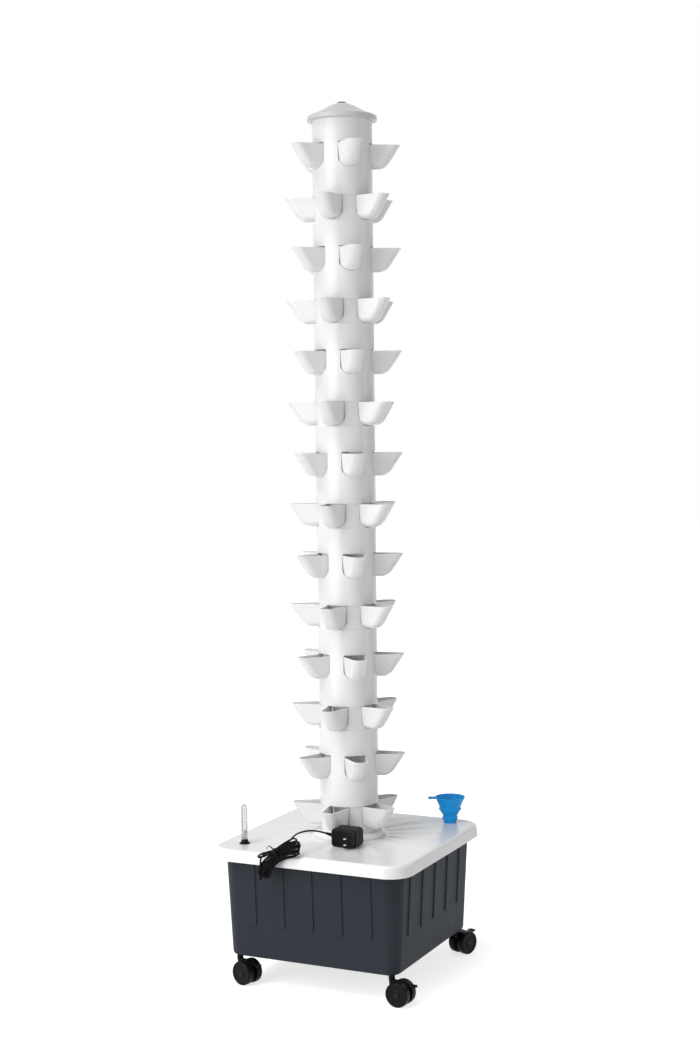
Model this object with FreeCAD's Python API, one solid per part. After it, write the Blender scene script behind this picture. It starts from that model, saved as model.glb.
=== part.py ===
# Vertical hydroponic growing tower on a wheeled nutrient tank.
# Millimetres, +Z up. The origin is on the floor, under the axis of the tower.
# The front of the tank faces -Y. Angles about the tower are turned from -Y towards +X.
import FreeCAD
import Part
import math
import os

Vector = FreeCAD.Vector
UP = Vector(0, 0, 1)
ORIGIN = Vector(0, 0, 0)

# Cutting shapes reach this far past what they cut
OVERRUN = 2.0

# Tower: two-level modules stacked on each other, with clip-in cups
MODULES = 7
CUPS_PER_LEVEL = 5
LEVEL_PITCH = 105.0
BODY_RADIUS = 62.0
NECK_RADIUS = 59.6
NECK_WALL = 2.4
SOCKET_CLEARANCE = 0.3
SPIGOT_LENGTH = 20.0
STEP_GAP = 1.0
TOWER_TURN = 3.0
CUP_SPACING = 360.0 / CUPS_PER_LEVEL

# Cup: a scoop with tapering sides, a round nose and a rounded underside
CUP_DEPTH = 48.0
CUP_TIP = 120.0
CUP_ROOT = 50.0
CUP_WALL = 1.8
CUP_ROOT_HALF = 22.5
CUP_NOSE_HALF = 16.5
CUP_NOSE_START = 102.0
CUP_LEAN = 32.0
CUP_BEND_DEPTH = 28.0
CUP_KNEE_DEPTH = 35.0
CUP_KNEE_RUN = 14.0
CUP_KNEE_BULGE = 2.4
WINDOW_GAP = 0.6
WINDOW_HEAD = 3.0
WINDOW_CORNER = 3.0

# Tank and lid, both tapering squares with rounded corners
CASTER_HEIGHT = 60.0
TANK_RIM_HALF = 201.0
TANK_DRAFT = 12.0
TANK_HEIGHT = 225.0
TANK_WALL = 3.0
TANK_CORNER = 26.0
TANK_RIM_CORNER = 38.0
TANK_FOOT_ROUND = 4.0
TANK_FLANGE_WIDTH = 10.0
TANK_FLANGE_THICKNESS = 4.0
RIB_COUNT = 5
RIB_PITCH = 65.0
RIB_WIDTH = 20.0
RIB_PROUD = 2.5
RIB_FOOT = 68.0
RIB_CORNER = 8.0
LID_PLAY = 6.0
LID_CORNER = 50.0
LID_DRAFT = 3.0
LID_WALL = 3.0
LID_SKIRT = 25.0
LID_EDGE_ROUND = 7.0
LID_RIB_COUNT = 20
LID_RIB_INNER = 84.0
LID_RIB_OUTER = 172.0
LID_RIB_WIDTH = 5.0
LID_RIB_PROUD = 1.5
PORT_BORE = 6.0
PORT_OFFSET = -70.0
PORT_INSET = 16.0

# Collar that holds the lowest module on the lid
COLLAR_RADIUS = 76.0
COLLAR_HEIGHT = 11.0
COLLAR_SLOPE = 5.0

# Cap on the top module, with its rubber vent plug
CAP_SEAT = 5.0
CAP_CLEARANCE = 0.3
CAP_LIP = 72.0
CAP_LIP_HEIGHT = 9.6
CAP_LIP_BEVEL = 1.4
CAP_CONE = ((70.0, 10.6), (47.0, 20.0), (30.0, 29.5), (12.0, 37.0))
CAP_RISE = 37.5
CAP_CROWN = 9.5
CAP_WALL = 2.4
CAP_PLUG_LENGTH = 10.0
VENT_BORE = 4.0
VENT_CLEARANCE = 0.1
VENT_HEAD = 9.2
VENT_HEAD_HEIGHT = 2.5
VENT_HEAD_BEVEL = 1.4
VENT_TAIL = 3.0

# Water path: pump, riser and the drip plate under the cap
PUMP_LENGTH = 60.0
PUMP_WIDTH = 46.0
PUMP_HEIGHT = 42.0
PUMP_ROUND = 6.0
PUMP_PASSAGE = 10.0
STRAINER_HEIGHT = 9.0
STRAINER_MARGIN = 3.0
STRAINER_SLOTS = 5
STRAINER_SLOT_WIDTH = 4.0
STRAINER_SLOT_SHARE = 0.6
OUTLET_RADIUS = 7.9
OUTLET_LENGTH = 12.0
RISER_RADIUS = 8.0
RISER_WALL = 1.5
COUPLING_WALL = 2.5
COUPLING_LENGTH = 28.0
PIPE_CLEARANCE = 0.2
DRIP_PLATE_THICKNESS = 3.0
DRIP_HOLES = 10
DRIP_HOLE = 2.0
DRIP_CIRCLE = 52.0
RISER_STUB = 8.0

# Water gauge in the front left of the lid
GAUGE_INSET = (37.0, 41.0)
GAUGE_TUBE = 6.6
GAUGE_TUBE_WALL = 1.4
GAUGE_TUBE_HEIGHT = 81.0
GAUGE_TUBE_SEAT = 7.0
GAUGE_TUBE_BEVEL = 1.5
GROMMET_FLANGE = 11.0
GROMMET_DOME = 8.6
GROMMET_LIP = 0.8
GROMMET_FLANGE_HEIGHT = 2.5
GROMMET_HEIGHT = 9.0
GROMMET_PLUG = 9.8
GROMMET_FLOOR = 2.0
GROMMET_CLEARANCE = 0.05
GROMMET_HOLE_CLEARANCE = 0.1
FLOAT_ROD = 1.3
FLOAT_ROD_GAP = 0.3
FLOAT_HEAD = 2.4
FLOAT_HEAD_HEIGHT = 4.0
FLOAT_ROD_TOP = 27.0
FLOAT_RADIUS = 9.5
FLOAT_HEIGHT = 40.0
FLOAT_TOP = 105.0
FLOAT_BEVEL = 2.0
SCALE_WIDTH = 3.6
SCALE_THICKNESS = 0.8
SCALE_HEIGHT = 66.0
SCALE_START = 2.0
SCALE_CLEARANCE = 0.02

# Folding silicone filling funnel in the back right of the lid
FUNNEL_INSET = (45.0, 22.0)
FUNNEL_TIERS = (
    (13.4, 0.0), (13.4, 4.0), (17.2, 11.0), (15.8, 17.0), (18.0, 22.0), (24.8, 31.0), (23.2, 36.0),
    (32.7, 56.0),
)
FUNNEL_WALL = 1.6
FUNNEL_SPIGOT = 11.5
FUNNEL_SPIGOT_LENGTH = 16.0
FUNNEL_HOLE_CLEARANCE = 0.4
FUNNEL_TAB_LENGTH = 15.0
FUNNEL_TAB_WIDTH = 13.0
FUNNEL_TAB_THICKNESS = 2.5
FUNNEL_TAB_ROUND = 5.85
FUNNEL_TAB_TURN = 205.6
FUNNEL_EYE = 2.5

# Twin-wheel casters with a stem, an axle and a brake pedal
CASTER_INSET = 17.0
CASTER_TURNS = {"front_right": -6.0, "front_left": -16.0, "back_right": 71.0, "back_left": 40.0}
CASTER_CORNERS = {"front_right": (1, -1), "front_left": (-1, -1), "back_right": (1, 1), "back_left": (-1, 1)}
WHEEL_RADIUS = 25.0
WHEEL_WIDTH = 15.5
WHEEL_CHAMFER = 2.0
WHEEL_RIM = 2.2
WHEEL_DISH = 1.5
WHEEL_HUB = 8.6
WHEEL_SPACING = 10.0
CASTER_TRAIL = 20.0
AXLE_RADIUS = 4.0
AXLE_CLEARANCE = 0.08
AXLE_EYE_WALL = 4.5
WHEEL_GAP = 0.8
YOKE_COLLAR = 6.5
YOKE_COLLAR_DEPTH = 2.0
YOKE_TOP = 50.0
YOKE_HEEL = 40.0
YOKE_NECK = 4.0
KNUCKLE_WALL = 1.5
STEM_RADIUS = 5.0
STEM_CLEARANCE = 0.08
STEM_LENGTH = 26.0
BUSH_WALL = 2.0
BUSH_FLANGE = 9.0
BUSH_FLANGE_THICKNESS = 2.0
BUSH_FIT = 0.05
BOSS_WALL = 2.0
BOSS_HEIGHT = 28.0
CASTER_HEAD_GAP = 0.3
BRAKE_WIDTH = 4.4
BRAKE_HINGE = (27.0, 43.0)
BRAKE_PIN = 1.6
BRAKE_PIN_CLEARANCE = 0.06
BRAKE_EYE = 3.2
BRAKE_LENGTH = 17.0
BRAKE_THICKNESS = 3.6
BRAKE_TAB_WIDTH = 15.0
BRAKE_TAB_LENGTH = 12.0
BRAKE_TAB_ROUND = 4.0
BRAKE_SLOT = 0.4
BRAKE_SLOT_LENGTH = 40.0

# Mains adapter lying on the lid, with its cable, hank, tie and low-voltage plug
ADAPTER_BACK = -78.0
ADAPTER_FRONT = -119.0
ADAPTER_LEFT = 14.0
ADAPTER_RIGHT = 70.0
ADAPTER_SHOULDER = 27.0
ADAPTER_HEIGHT = 37.5
ADAPTER_SPLIT = -101.0
ADAPTER_ROUND = 5.0
PIN_BLOCK_WIDTH = 26.0
PIN_BLOCK_PROUD = 9.0
PIN_BLOCK_INSET = 2.0
PIN_BLADE = (1.6, 6.4)
PIN_LENGTH = 17.0
PIN_SPACING = 12.7
PIN_SEAT = 4.0
RELIEF_ROOT = 4.5
RELIEF_TIP = 2.6
RELIEF_LENGTH = 20.0
CABLE_RADIUS = 1.6
CABLE_EXIT = Vector(-2.0, -108.5, 313.0)
CABLE_ROUTE = (
    CABLE_EXIT,
    Vector(-17.0, -110.0, 316.0),
    Vector(-34.0, -114.5, 316.8),
    Vector(-48.5, -123.5, 314.8),
    Vector(-58.0, -138.0, 310.0),
    Vector(-61.0, -157.0, 306.5),
    Vector(-58.5, -176.0, 304.0),
    Vector(-50.5, -192.0, 302.5),
    Vector(-42.0, -205.0, 302.0),
)
HANK_WIDTHS = (15.0, 12.0, 9.0, 11.0)
HANK_HEIGHTS = (10.0, 10.0, 8.0, 9.0)
HANK_PATH = (
    Vector(-10.0, -198.0, 301.0),
    Vector(-36.0, -213.0, 301.0),
    Vector(-59.0, -229.0, 292.0),
    Vector(-73.5, -237.0, 241.0),
)
TIE_RUN = 1
TIE_SHARE = 0.8
TIE_WIDTH = 5.0
TIE_GAP = 1.0
TIE_THICKNESS = 1.0
PLUG_BODY = 5.0
PLUG_BODY_LENGTH = 20.0
PLUG_BARREL = 2.75
PLUG_BARREL_LENGTH = 9.5
PLUG_BORE = 1.05
PLUG_BASE = Vector(-87.5, -235.0, 268.0)

# Heights and places that follow from the sizes above
TANK_BASE = CASTER_HEIGHT
TANK_TOP = TANK_BASE + TANK_HEIGHT
TANK_FLOOR_HALF = TANK_RIM_HALF - TANK_DRAFT
TANK_FLANGE_HALF = TANK_RIM_HALF + TANK_FLANGE_WIDTH
LID_TOP = TANK_TOP + LID_WALL
LID_BASE = LID_TOP - LID_SKIRT
LID_HALF = TANK_FLANGE_HALF + LID_PLAY + LID_WALL
PORT_PLACE = (PORT_OFFSET, TANK_RIM_HALF - PORT_INSET)
GAUGE_PLACE = (GAUGE_INSET[0] - TANK_RIM_HALF, GAUGE_INSET[1] - TANK_RIM_HALF)
FUNNEL_PLACE = (TANK_RIM_HALF - FUNNEL_INSET[0], TANK_RIM_HALF - FUNNEL_INSET[1])
CASTER_PIVOT = TANK_FLOOR_HALF - CASTER_INSET
ADAPTER_BASE = LID_TOP + LID_RIB_PROUD
MODULE_PITCH = 2 * LEVEL_PITCH
BASE_RIM = LID_TOP + SPIGOT_LENGTH + STEP_GAP + CUP_DEPTH
BODY_TOP = MODULE_PITCH - CUP_DEPTH - STEP_GAP
NECK_END = -CUP_DEPTH - STEP_GAP - SPIGOT_LENGTH
NECK_BORE = NECK_RADIUS - NECK_WALL
SOCKET_RADIUS = NECK_RADIUS + SOCKET_CLEARANCE
TOWER_TOP = BASE_RIM + (MODULES - 1) * MODULE_PITCH + BODY_TOP
CAP_BASE = TOWER_TOP - CAP_SEAT
SOCKET_FLOOR = TOWER_TOP - SPIGOT_LENGTH
DRIP_PLATE_TOP = SOCKET_FLOOR + DRIP_PLATE_THICKNESS
PUMP_BASE = TANK_BASE + TANK_WALL + STRAINER_HEIGHT
PUMP_TOP = PUMP_BASE + PUMP_HEIGHT
RISER_BASE = PUMP_TOP + OUTLET_LENGTH
TANK_TAPER = math.degrees(math.atan(TANK_DRAFT / TANK_HEIGHT))
CUP_SLANT = math.hypot(CUP_LEAN, CUP_DEPTH) / CUP_DEPTH


def save(name, shape):
    """Writes one node, a solid or a group of separate solids."""
    if isinstance(shape, (list, tuple)):
        shape = Part.makeCompound(list(shape))
    shape.exportStep("parts/" + name + ".step")


def polygon_face(points):
    """A flat face from corner points."""
    corners = [Vector(*p) for p in points]
    return Part.Face(Part.makePolygon(corners + corners[:1]))


def path_edges(points, closed=True):
    """Edges through the points; a point marked as a bend is passed by an arc instead of a corner."""
    edges = []
    spots = list(points) + ([points[0]] if closed else [])
    index = 0
    while index < len(spots) - 1:
        here = Vector(*spots[index][:3])
        after = Vector(*spots[index + 1][:3])
        if len(spots[index + 1]) > 3:
            end = Vector(*spots[index + 2][:3])
            edges.append(Part.Arc(here, after, end).toShape())
            index += 2
        else:
            edges.append(Part.LineSegment(here, after).toShape())
            index += 1
    return edges


def curved_face(points):
    """A flat face whose outline has arcs; a fourth value marks the middle of an arc."""
    return Part.Face(Part.Wire(path_edges(points)))


def turned(profile, at=(0.0, 0.0)):
    """A solid of revolution about a vertical axis, from (radius, height) corners."""
    face = polygon_face([(r, 0.0, z) for r, z in profile])
    solid = face.revolve(ORIGIN, UP, 360)
    solid.translate(Vector(at[0], at[1], 0))
    return solid


def rod(radius, low, high, at=(0.0, 0.0)):
    """A vertical cylinder between two heights."""
    return Part.makeCylinder(radius, high - low, Vector(at[0], at[1], low))


def drill(radius, low, high, at=(0.0, 0.0)):
    """A cutting rod that runs past both ends of its hole."""
    return rod(radius, low - OVERRUN, high + OVERRUN, at)


def rounded_square(half, corner, height):
    """The outline of a square with rounded corners, as a closed wire."""
    edges = []
    inner = half - corner
    for quarter in range(4):
        start = math.radians(90 * quarter)
        side = Vector(math.cos(start), math.sin(start), 0)
        ahead = Vector(-math.sin(start), math.cos(start), 0)
        low = side * half - ahead * inner
        high = side * half + ahead * inner
        turn_end = side * inner + ahead * half
        middle = (side + ahead) * inner + (side + ahead) * (corner / math.sqrt(2))
        lift = Vector(0, 0, height)
        edges.append(Part.LineSegment(low + lift, high + lift).toShape())
        edges.append(Part.Arc(high + lift, middle + lift, turn_end + lift).toShape())
    return Part.Wire(edges)


def tapered_block(half_low, corner_low, low, half_high, corner_high, high):
    """A rounded square block whose sides lean from one outline to the other."""
    wires = [rounded_square(half_low, corner_low, low), rounded_square(half_high, corner_high, high)]
    return Part.makeLoft(wires, True, True)


def around(shape, angle):
    """A copy of a shape turned about the tower's axis."""
    copy = shape.copy()
    copy.rotate(ORIGIN, UP, angle)
    return copy


def wall_rib(offset):
    """One raised rib on the front wall, with rounded lower corners, leaning with the wall."""
    half = RIB_WIDTH / 2
    foot = TANK_BASE + RIB_FOOT
    head = TANK_TOP - TANK_FLANGE_THICKNESS
    block = Part.makeBox(RIB_WIDTH, 2 * RIB_PROUD, head - foot, Vector(offset - half, -RIB_PROUD, foot))
    lower = [e for e in block.Edges if e.BoundBox.ZMax < foot + 0.01 and e.BoundBox.YLength > RIB_PROUD]
    block = block.makeFillet(RIB_CORNER, lower)
    block.translate(Vector(0, -TANK_FLOOR_HALF, 0))
    block.rotate(Vector(0, -TANK_FLOOR_HALF, TANK_BASE), Vector(1, 0, 0), TANK_TAPER)
    return block


def caster_places():
    """The four casters as (name, x, y, resting turn)."""
    for name, (side_x, side_y) in CASTER_CORNERS.items():
        yield name, side_x * CASTER_PIVOT, side_y * CASTER_PIVOT, CASTER_TURNS[name]


def tank_shell():
    """The open tank: ribbed walls, a flange under the lid, and four stem bosses in its floor."""
    outside = tapered_block(TANK_FLOOR_HALF, TANK_CORNER, TANK_BASE, TANK_RIM_HALF, TANK_RIM_CORNER, TANK_TOP)
    outer = outside
    foot = [e for e in outside.Edges if e.BoundBox.ZMax < TANK_BASE + 0.01]
    outside = outside.makeFillet(TANK_FOOT_ROUND, foot)
    inside_corner = TANK_CORNER - TANK_WALL
    inside = tapered_block(
        TANK_FLOOR_HALF - TANK_WALL, inside_corner, TANK_BASE + TANK_WALL,
        TANK_RIM_HALF - TANK_WALL, TANK_RIM_CORNER - TANK_WALL, TANK_TOP,
    )
    flange_corner = TANK_RIM_CORNER + TANK_FLANGE_WIDTH
    flange_base = TANK_TOP - TANK_FLANGE_THICKNESS
    flange = tapered_block(
        TANK_FLANGE_HALF, flange_corner, flange_base, TANK_FLANGE_HALF, flange_corner, TANK_TOP,
    )
    shell = outside.fuse(flange)
    middle = (RIB_COUNT - 1) / 2
    ribs = [wall_rib((index - middle) * RIB_PITCH) for index in range(RIB_COUNT)]
    shell = shell.fuse([around(rib, 90 * side) for side in range(4) for rib in ribs])
    shell = shell.cut(inside)
    barrel = STEM_RADIUS + STEM_CLEARANCE + BUSH_WALL + BUSH_FIT
    seat = BUSH_FLANGE + BUSH_FIT
    seat_top = TANK_BASE + BUSH_FLANGE_THICKNESS
    head = TANK_BASE + BOSS_HEIGHT
    bosses = []
    bores = []
    for _, x, y, _ in caster_places():
        bosses.append(rod(seat + BOSS_WALL, TANK_BASE, head, (x, y)).common(outer))
        bores.append(drill(barrel, TANK_BASE, head, (x, y)))
        bores.append(rod(seat, TANK_BASE - OVERRUN, seat_top, (x, y)))
    return shell.fuse(bosses).cut(bores).removeSplitter()


def caster_bushes():
    """Four flanged bushes, pressed into the bosses from below until their flanges lie flush."""
    inner = STEM_RADIUS + STEM_CLEARANCE
    outer = inner + BUSH_WALL
    head = TANK_BASE + BOSS_HEIGHT
    seat = TANK_BASE + BUSH_FLANGE_THICKNESS
    profile = [(inner, TANK_BASE), (BUSH_FLANGE, TANK_BASE), (BUSH_FLANGE, seat), (outer, seat), (outer, head)]
    profile += [(inner, head)]
    return [turned(profile, (x, y)) for _, x, y, _ in caster_places()]


def tank_lid():
    """The lid, with a drafted skirt, a rounded edge, radial ribs and its four holes."""
    top_half = LID_HALF - LID_DRAFT
    outside = tapered_block(LID_HALF, LID_CORNER, LID_BASE, top_half, LID_CORNER - LID_DRAFT, LID_TOP)
    brim = [e for e in outside.Edges if e.BoundBox.ZMin > LID_TOP - 0.01]
    outside = outside.makeFillet(LID_EDGE_ROUND, brim)
    wall = LID_WALL
    inside = tapered_block(
        LID_HALF - wall, LID_CORNER - wall, LID_BASE, top_half - wall, LID_CORNER - LID_DRAFT - wall, TANK_TOP,
    )
    lid = outside.cut(inside)
    rib_length = LID_RIB_OUTER - LID_RIB_INNER
    start = Vector(LID_RIB_INNER, -LID_RIB_WIDTH / 2, LID_TOP - LID_WALL / 2)
    rib = Part.makeBox(rib_length, LID_RIB_WIDTH, LID_WALL / 2 + LID_RIB_PROUD, start)
    turns = [360 * (index + 0.5) / LID_RIB_COUNT for index in range(LID_RIB_COUNT)]
    lid = lid.fuse([around(rib, turn) for turn in turns])
    top = LID_TOP + LID_RIB_PROUD
    holes = [
        drill(NECK_BORE, LID_BASE, top),
        drill(GROMMET_PLUG + GROMMET_HOLE_CLEARANCE, LID_BASE, top, GAUGE_PLACE),
        drill(FUNNEL_SPIGOT + FUNNEL_HOLE_CLEARANCE, LID_BASE, top, FUNNEL_PLACE),
        drill(PORT_BORE, LID_BASE, top, PORT_PLACE),
    ]
    return lid.cut(holes).removeSplitter()


def tower_collar():
    """The ring that centres the lowest module on the lid."""
    top = LID_TOP + COLLAR_HEIGHT
    knee = COLLAR_RADIUS - COLLAR_SLOPE
    profile = [(SOCKET_RADIUS, LID_TOP), (COLLAR_RADIUS, LID_TOP), (COLLAR_RADIUS, top - COLLAR_SLOPE)]
    profile += [(knee, top), (SOCKET_RADIUS, top)]
    return turned(profile)


def cup_plan(shrink, height):
    """The scoop's outline seen from above, with a round nose, closed behind the tower wall."""
    lean = CUP_LEAN / CUP_DEPTH * height
    tip = CUP_TIP - shrink * CUP_SLANT + lean
    shoulder = CUP_NOSE_START + lean
    wall_line = BODY_RADIUS + lean
    nose = CUP_NOSE_HALF - shrink
    root = CUP_ROOT_HALF - shrink
    return curved_face([
        (lean, root, height), (wall_line, root, height), (shoulder, nose, height), (tip, 0.0, height, "arc"),
        (shoulder, -nose, height), (wall_line, -root, height), (lean, -root, height),
    ])


def cup_section(shrink, head, x=0.0):
    """The scoop seen from the front: straight sides and a round underside."""
    side = CUP_ROOT_HALF - shrink + 0.01
    deep = CUP_DEPTH - shrink
    return [
        (x, side, head), (x, side, -CUP_BEND_DEPTH), (x, 0.0, -deep, "arc"), (x, -side, -CUP_BEND_DEPTH),
        (x, -side, head),
    ]


def knee_cutter(shrink):
    """What is cut away below the nose to round it into the underside."""
    start = Vector(CUP_TIP - CUP_LEAN * CUP_KNEE_DEPTH / CUP_DEPTH - shrink * CUP_SLANT, 0, -CUP_KNEE_DEPTH)
    end = Vector(CUP_TIP - CUP_LEAN - CUP_KNEE_RUN - shrink, 0, shrink - CUP_DEPTH)
    chord = (end - start).normalize()
    outward = Vector(-chord.z, 0, chord.x)
    middle = (start + end) * 0.5 + outward * CUP_KNEE_BULGE
    far = start.x + CUP_DEPTH
    low = -2 * CUP_DEPTH
    y = -2 * CUP_ROOT_HALF
    outline = [
        (start.x, y, start.z), (middle.x, y, middle.z, "arc"), (end.x, y, end.z), (end.x, y, low),
        (far, y, low), (far, y, start.z),
    ]
    return curved_face(outline).extrude(Vector(0, 4 * CUP_ROOT_HALF, 0))


def scoop(shrink, head):
    """The solid outline of a cup, or of its hollow when it shrinks by the wall."""
    drop = CUP_DEPTH + head
    body = cup_plan(shrink, head).extrude(Vector(-CUP_LEAN / CUP_DEPTH * drop, 0, -drop))
    section = curved_face(cup_section(shrink, head))
    body = body.common(section.extrude(Vector(CUP_TIP + CUP_LEAN, 0, 0)))
    body = body.cut(knee_cutter(shrink))
    width = 4 * CUP_ROOT_HALF
    behind = Part.makeBox(CUP_ROOT - shrink, width, 3 * CUP_DEPTH, Vector(0, -width / 2, -2 * CUP_DEPTH))
    return body.cut(behind)


def planting_cup():
    """One cup: a scoop that is open at its rim and at its root."""
    return scoop(0.0, 0.0).cut(scoop(CUP_WALL, OVERRUN))


def window(head, rounded):
    """The opening in the tower wall that a cup passes through, with a gap all round."""
    x = CUP_ROOT - OVERRUN
    outline = cup_section(-WINDOW_GAP, head, x)
    if rounded:
        side = outline[0][1]
        bend = WINDOW_CORNER * (1 - math.sqrt(0.5))
        corner = WINDOW_CORNER
        left = [(x, -side, head - corner), (x, bend - side, head - bend, "arc"), (x, corner - side, head)]
        right = [(x, side - corner, head), (x, side - bend, head - bend, "arc"), (x, side, head - corner)]
        edges = path_edges(right[2:] + outline[1:-1] + left + right, False)
    else:
        edges = path_edges(outline)
    return Part.Face(Part.Wire(edges)).extrude(Vector(BODY_RADIUS, 0, 0))


def cup_turns(level):
    """The azimuths of one level's cups; odd levels sit half a space further round."""
    shift = CUP_SPACING / 2 if level % 2 else 0.0
    return [TOWER_TURN + shift + CUP_SPACING * index - 90 for index in range(CUPS_PER_LEVEL)]


def planter_module():
    """A full-width body with the upper cups and a narrower neck with the lower ones."""
    profile = [
        (NECK_BORE, NECK_END), (NECK_RADIUS, NECK_END), (NECK_RADIUS, STEP_GAP), (BODY_RADIUS, STEP_GAP),
        (BODY_RADIUS, BODY_TOP), (SOCKET_RADIUS, BODY_TOP), (SOCKET_RADIUS, BODY_TOP - SPIGOT_LENGTH),
        (NECK_BORE, BODY_TOP - SPIGOT_LENGTH),
    ]
    module = turned(profile)
    upper = window(WINDOW_HEAD, True)
    upper.translate(Vector(0, 0, LEVEL_PITCH))
    lower = window(STEP_GAP / 2, False)
    openings = [around(upper, turn) for turn in cup_turns(1)] + [around(lower, turn) for turn in cup_turns(2)]
    return module.cut(openings)


def rim_height(level):
    """The height of a level's rims; level 1 is the highest."""
    return BASE_RIM + (2 * MODULES - level) * LEVEL_PITCH


def cup_ring(cup, level):
    """The five cups of one level."""
    ring = [around(cup, turn) for turn in cup_turns(level)]
    for each in ring:
        each.translate(Vector(0, 0, rim_height(level)))
    return ring


def top_cap():
    """The cap: a plug inside the top module, a lip over its end, and a low cone with a flat crown."""
    top = CAP_BASE
    low = TOWER_TOP - CAP_PLUG_LENGTH
    bore = NECK_RADIUS - CAP_WALL
    skirt = BODY_RADIUS + CAP_CLEARANCE
    profile = [(bore, low), (NECK_RADIUS, low), (NECK_RADIUS, TOWER_TOP), (skirt, TOWER_TOP), (skirt, top)]
    profile += [(CAP_LIP - CAP_LIP_BEVEL, top), (CAP_LIP, top + CAP_LIP_BEVEL)]
    profile += [(CAP_LIP, top + CAP_LIP_HEIGHT - CAP_LIP_BEVEL)]
    profile += [(r, top + h) for r, h in CAP_CONE]
    crown = top + CAP_RISE
    profile += [(CAP_CROWN, crown), (VENT_BORE, crown), (VENT_BORE, crown - CAP_WALL)]
    profile += [(r - CAP_WALL / 4, top + h - CAP_WALL) for r, h in reversed(CAP_CONE[1:])]
    profile += [(bore, top + CAP_LIP_HEIGHT + CAP_WALL)]
    return turned(profile)


def vent_plug():
    """The rubber plug that closes the cap's crown."""
    top = CAP_BASE + CAP_RISE
    shank = VENT_BORE - VENT_CLEARANCE
    low = top - CAP_WALL - VENT_TAIL
    head = top + VENT_HEAD_HEIGHT
    profile = [(0.0, low), (shank, low), (shank, top), (VENT_HEAD, top), (VENT_HEAD, head - VENT_HEAD_BEVEL)]
    profile += [(VENT_HEAD - VENT_HEAD_BEVEL, head), (0.0, head)]
    return turned(profile)


def drip_plate():
    """The perforated plate that spreads the water over the top module's wall."""
    plate = rod(NECK_RADIUS, SOCKET_FLOOR, DRIP_PLATE_TOP)
    holes = [drill(RISER_RADIUS + PIPE_CLEARANCE, SOCKET_FLOOR, DRIP_PLATE_TOP)]
    for index in range(DRIP_HOLES):
        turn = math.radians(360 * index / DRIP_HOLES)
        place = (DRIP_CIRCLE * math.cos(turn), DRIP_CIRCLE * math.sin(turn))
        holes.append(drill(DRIP_HOLE, SOCKET_FLOOR, DRIP_PLATE_TOP, place))
    return plate.cut(holes)


def riser_pipe():
    """The pipe from the pump's coupling to just above the drip plate."""
    top = DRIP_PLATE_TOP + RISER_STUB
    return rod(RISER_RADIUS, RISER_BASE, top).cut(drill(RISER_RADIUS - RISER_WALL, RISER_BASE, top))


def pump_body():
    """The submersible pump with its upright outlet."""
    corner = Vector(-PUMP_LENGTH / 2, -PUMP_WIDTH / 2, PUMP_BASE)
    block = Part.makeBox(PUMP_LENGTH, PUMP_WIDTH, PUMP_HEIGHT, corner)
    upright = [e for e in block.Edges if e.BoundBox.ZLength > PUMP_HEIGHT / 2]
    block = block.makeFillet(PUMP_ROUND, upright)
    block = block.fuse(rod(OUTLET_RADIUS, PUMP_TOP - OVERRUN, RISER_BASE))
    return block.cut(rod(RISER_RADIUS - RISER_WALL, PUMP_TOP - PUMP_PASSAGE, RISER_BASE + OVERRUN))


def pump_strainer():
    """The slotted tray that the pump stands on."""
    length = PUMP_LENGTH + 2 * STRAINER_MARGIN
    width = PUMP_WIDTH + 2 * STRAINER_MARGIN
    low = TANK_BASE + TANK_WALL
    tray = Part.makeBox(length, width, STRAINER_HEIGHT, Vector(-length / 2, -width / 2, low))
    pitch = length / (STRAINER_SLOTS + 1)
    slots = []
    for index in range(STRAINER_SLOTS):
        place = Vector(-length / 2 + pitch * (index + 1) - STRAINER_SLOT_WIDTH / 2, -width, low)
        slots.append(Part.makeBox(STRAINER_SLOT_WIDTH, 2 * width, STRAINER_HEIGHT * STRAINER_SLOT_SHARE, place))
    return tray.cut(slots)


def pump_coupling():
    """The rubber sleeve over the pump's outlet and the riser's end."""
    inner = RISER_RADIUS + PIPE_CLEARANCE
    low = RISER_BASE - OUTLET_LENGTH
    high = low + COUPLING_LENGTH
    return rod(inner + COUPLING_WALL, low, high).cut(drill(inner, low, high))


def gauge_grommet():
    """The rubber seal that holds the gauge's tube in the lid and guides the float's rod."""
    bore = GAUGE_TUBE + GROMMET_CLEARANCE
    guide = FLOAT_ROD + FLOAT_ROD_GAP
    low = LID_TOP - GAUGE_TUBE_SEAT
    flange_top = LID_TOP + GROMMET_FLANGE_HEIGHT
    head = LID_TOP + GROMMET_HEIGHT
    profile = [
        (guide, low), (GROMMET_PLUG, low), (GROMMET_PLUG, LID_TOP), (GROMMET_FLANGE, LID_TOP),
        (GROMMET_FLANGE, flange_top), (GROMMET_DOME, flange_top), (GAUGE_TUBE + GROMMET_LIP, head),
        (bore, head), (bore, low + GROMMET_FLOOR), (guide, low + GROMMET_FLOOR),
    ]
    return turned(profile, GAUGE_PLACE)


def gauge_tube():
    """The clear tube, closed at its top."""
    bore = GAUGE_TUBE - GAUGE_TUBE_WALL
    low = LID_TOP - GAUGE_TUBE_SEAT + GROMMET_FLOOR
    top = LID_TOP + GAUGE_TUBE_HEIGHT
    bevel = GAUGE_TUBE_BEVEL
    profile = [(bore, low), (GAUGE_TUBE, low), (GAUGE_TUBE, top - bevel), (GAUGE_TUBE - bevel, top), (0.0, top)]
    profile += [(0.0, top - GAUGE_TUBE_WALL), (bore, top - GAUGE_TUBE_WALL)]
    return turned(profile, GAUGE_PLACE)


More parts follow.
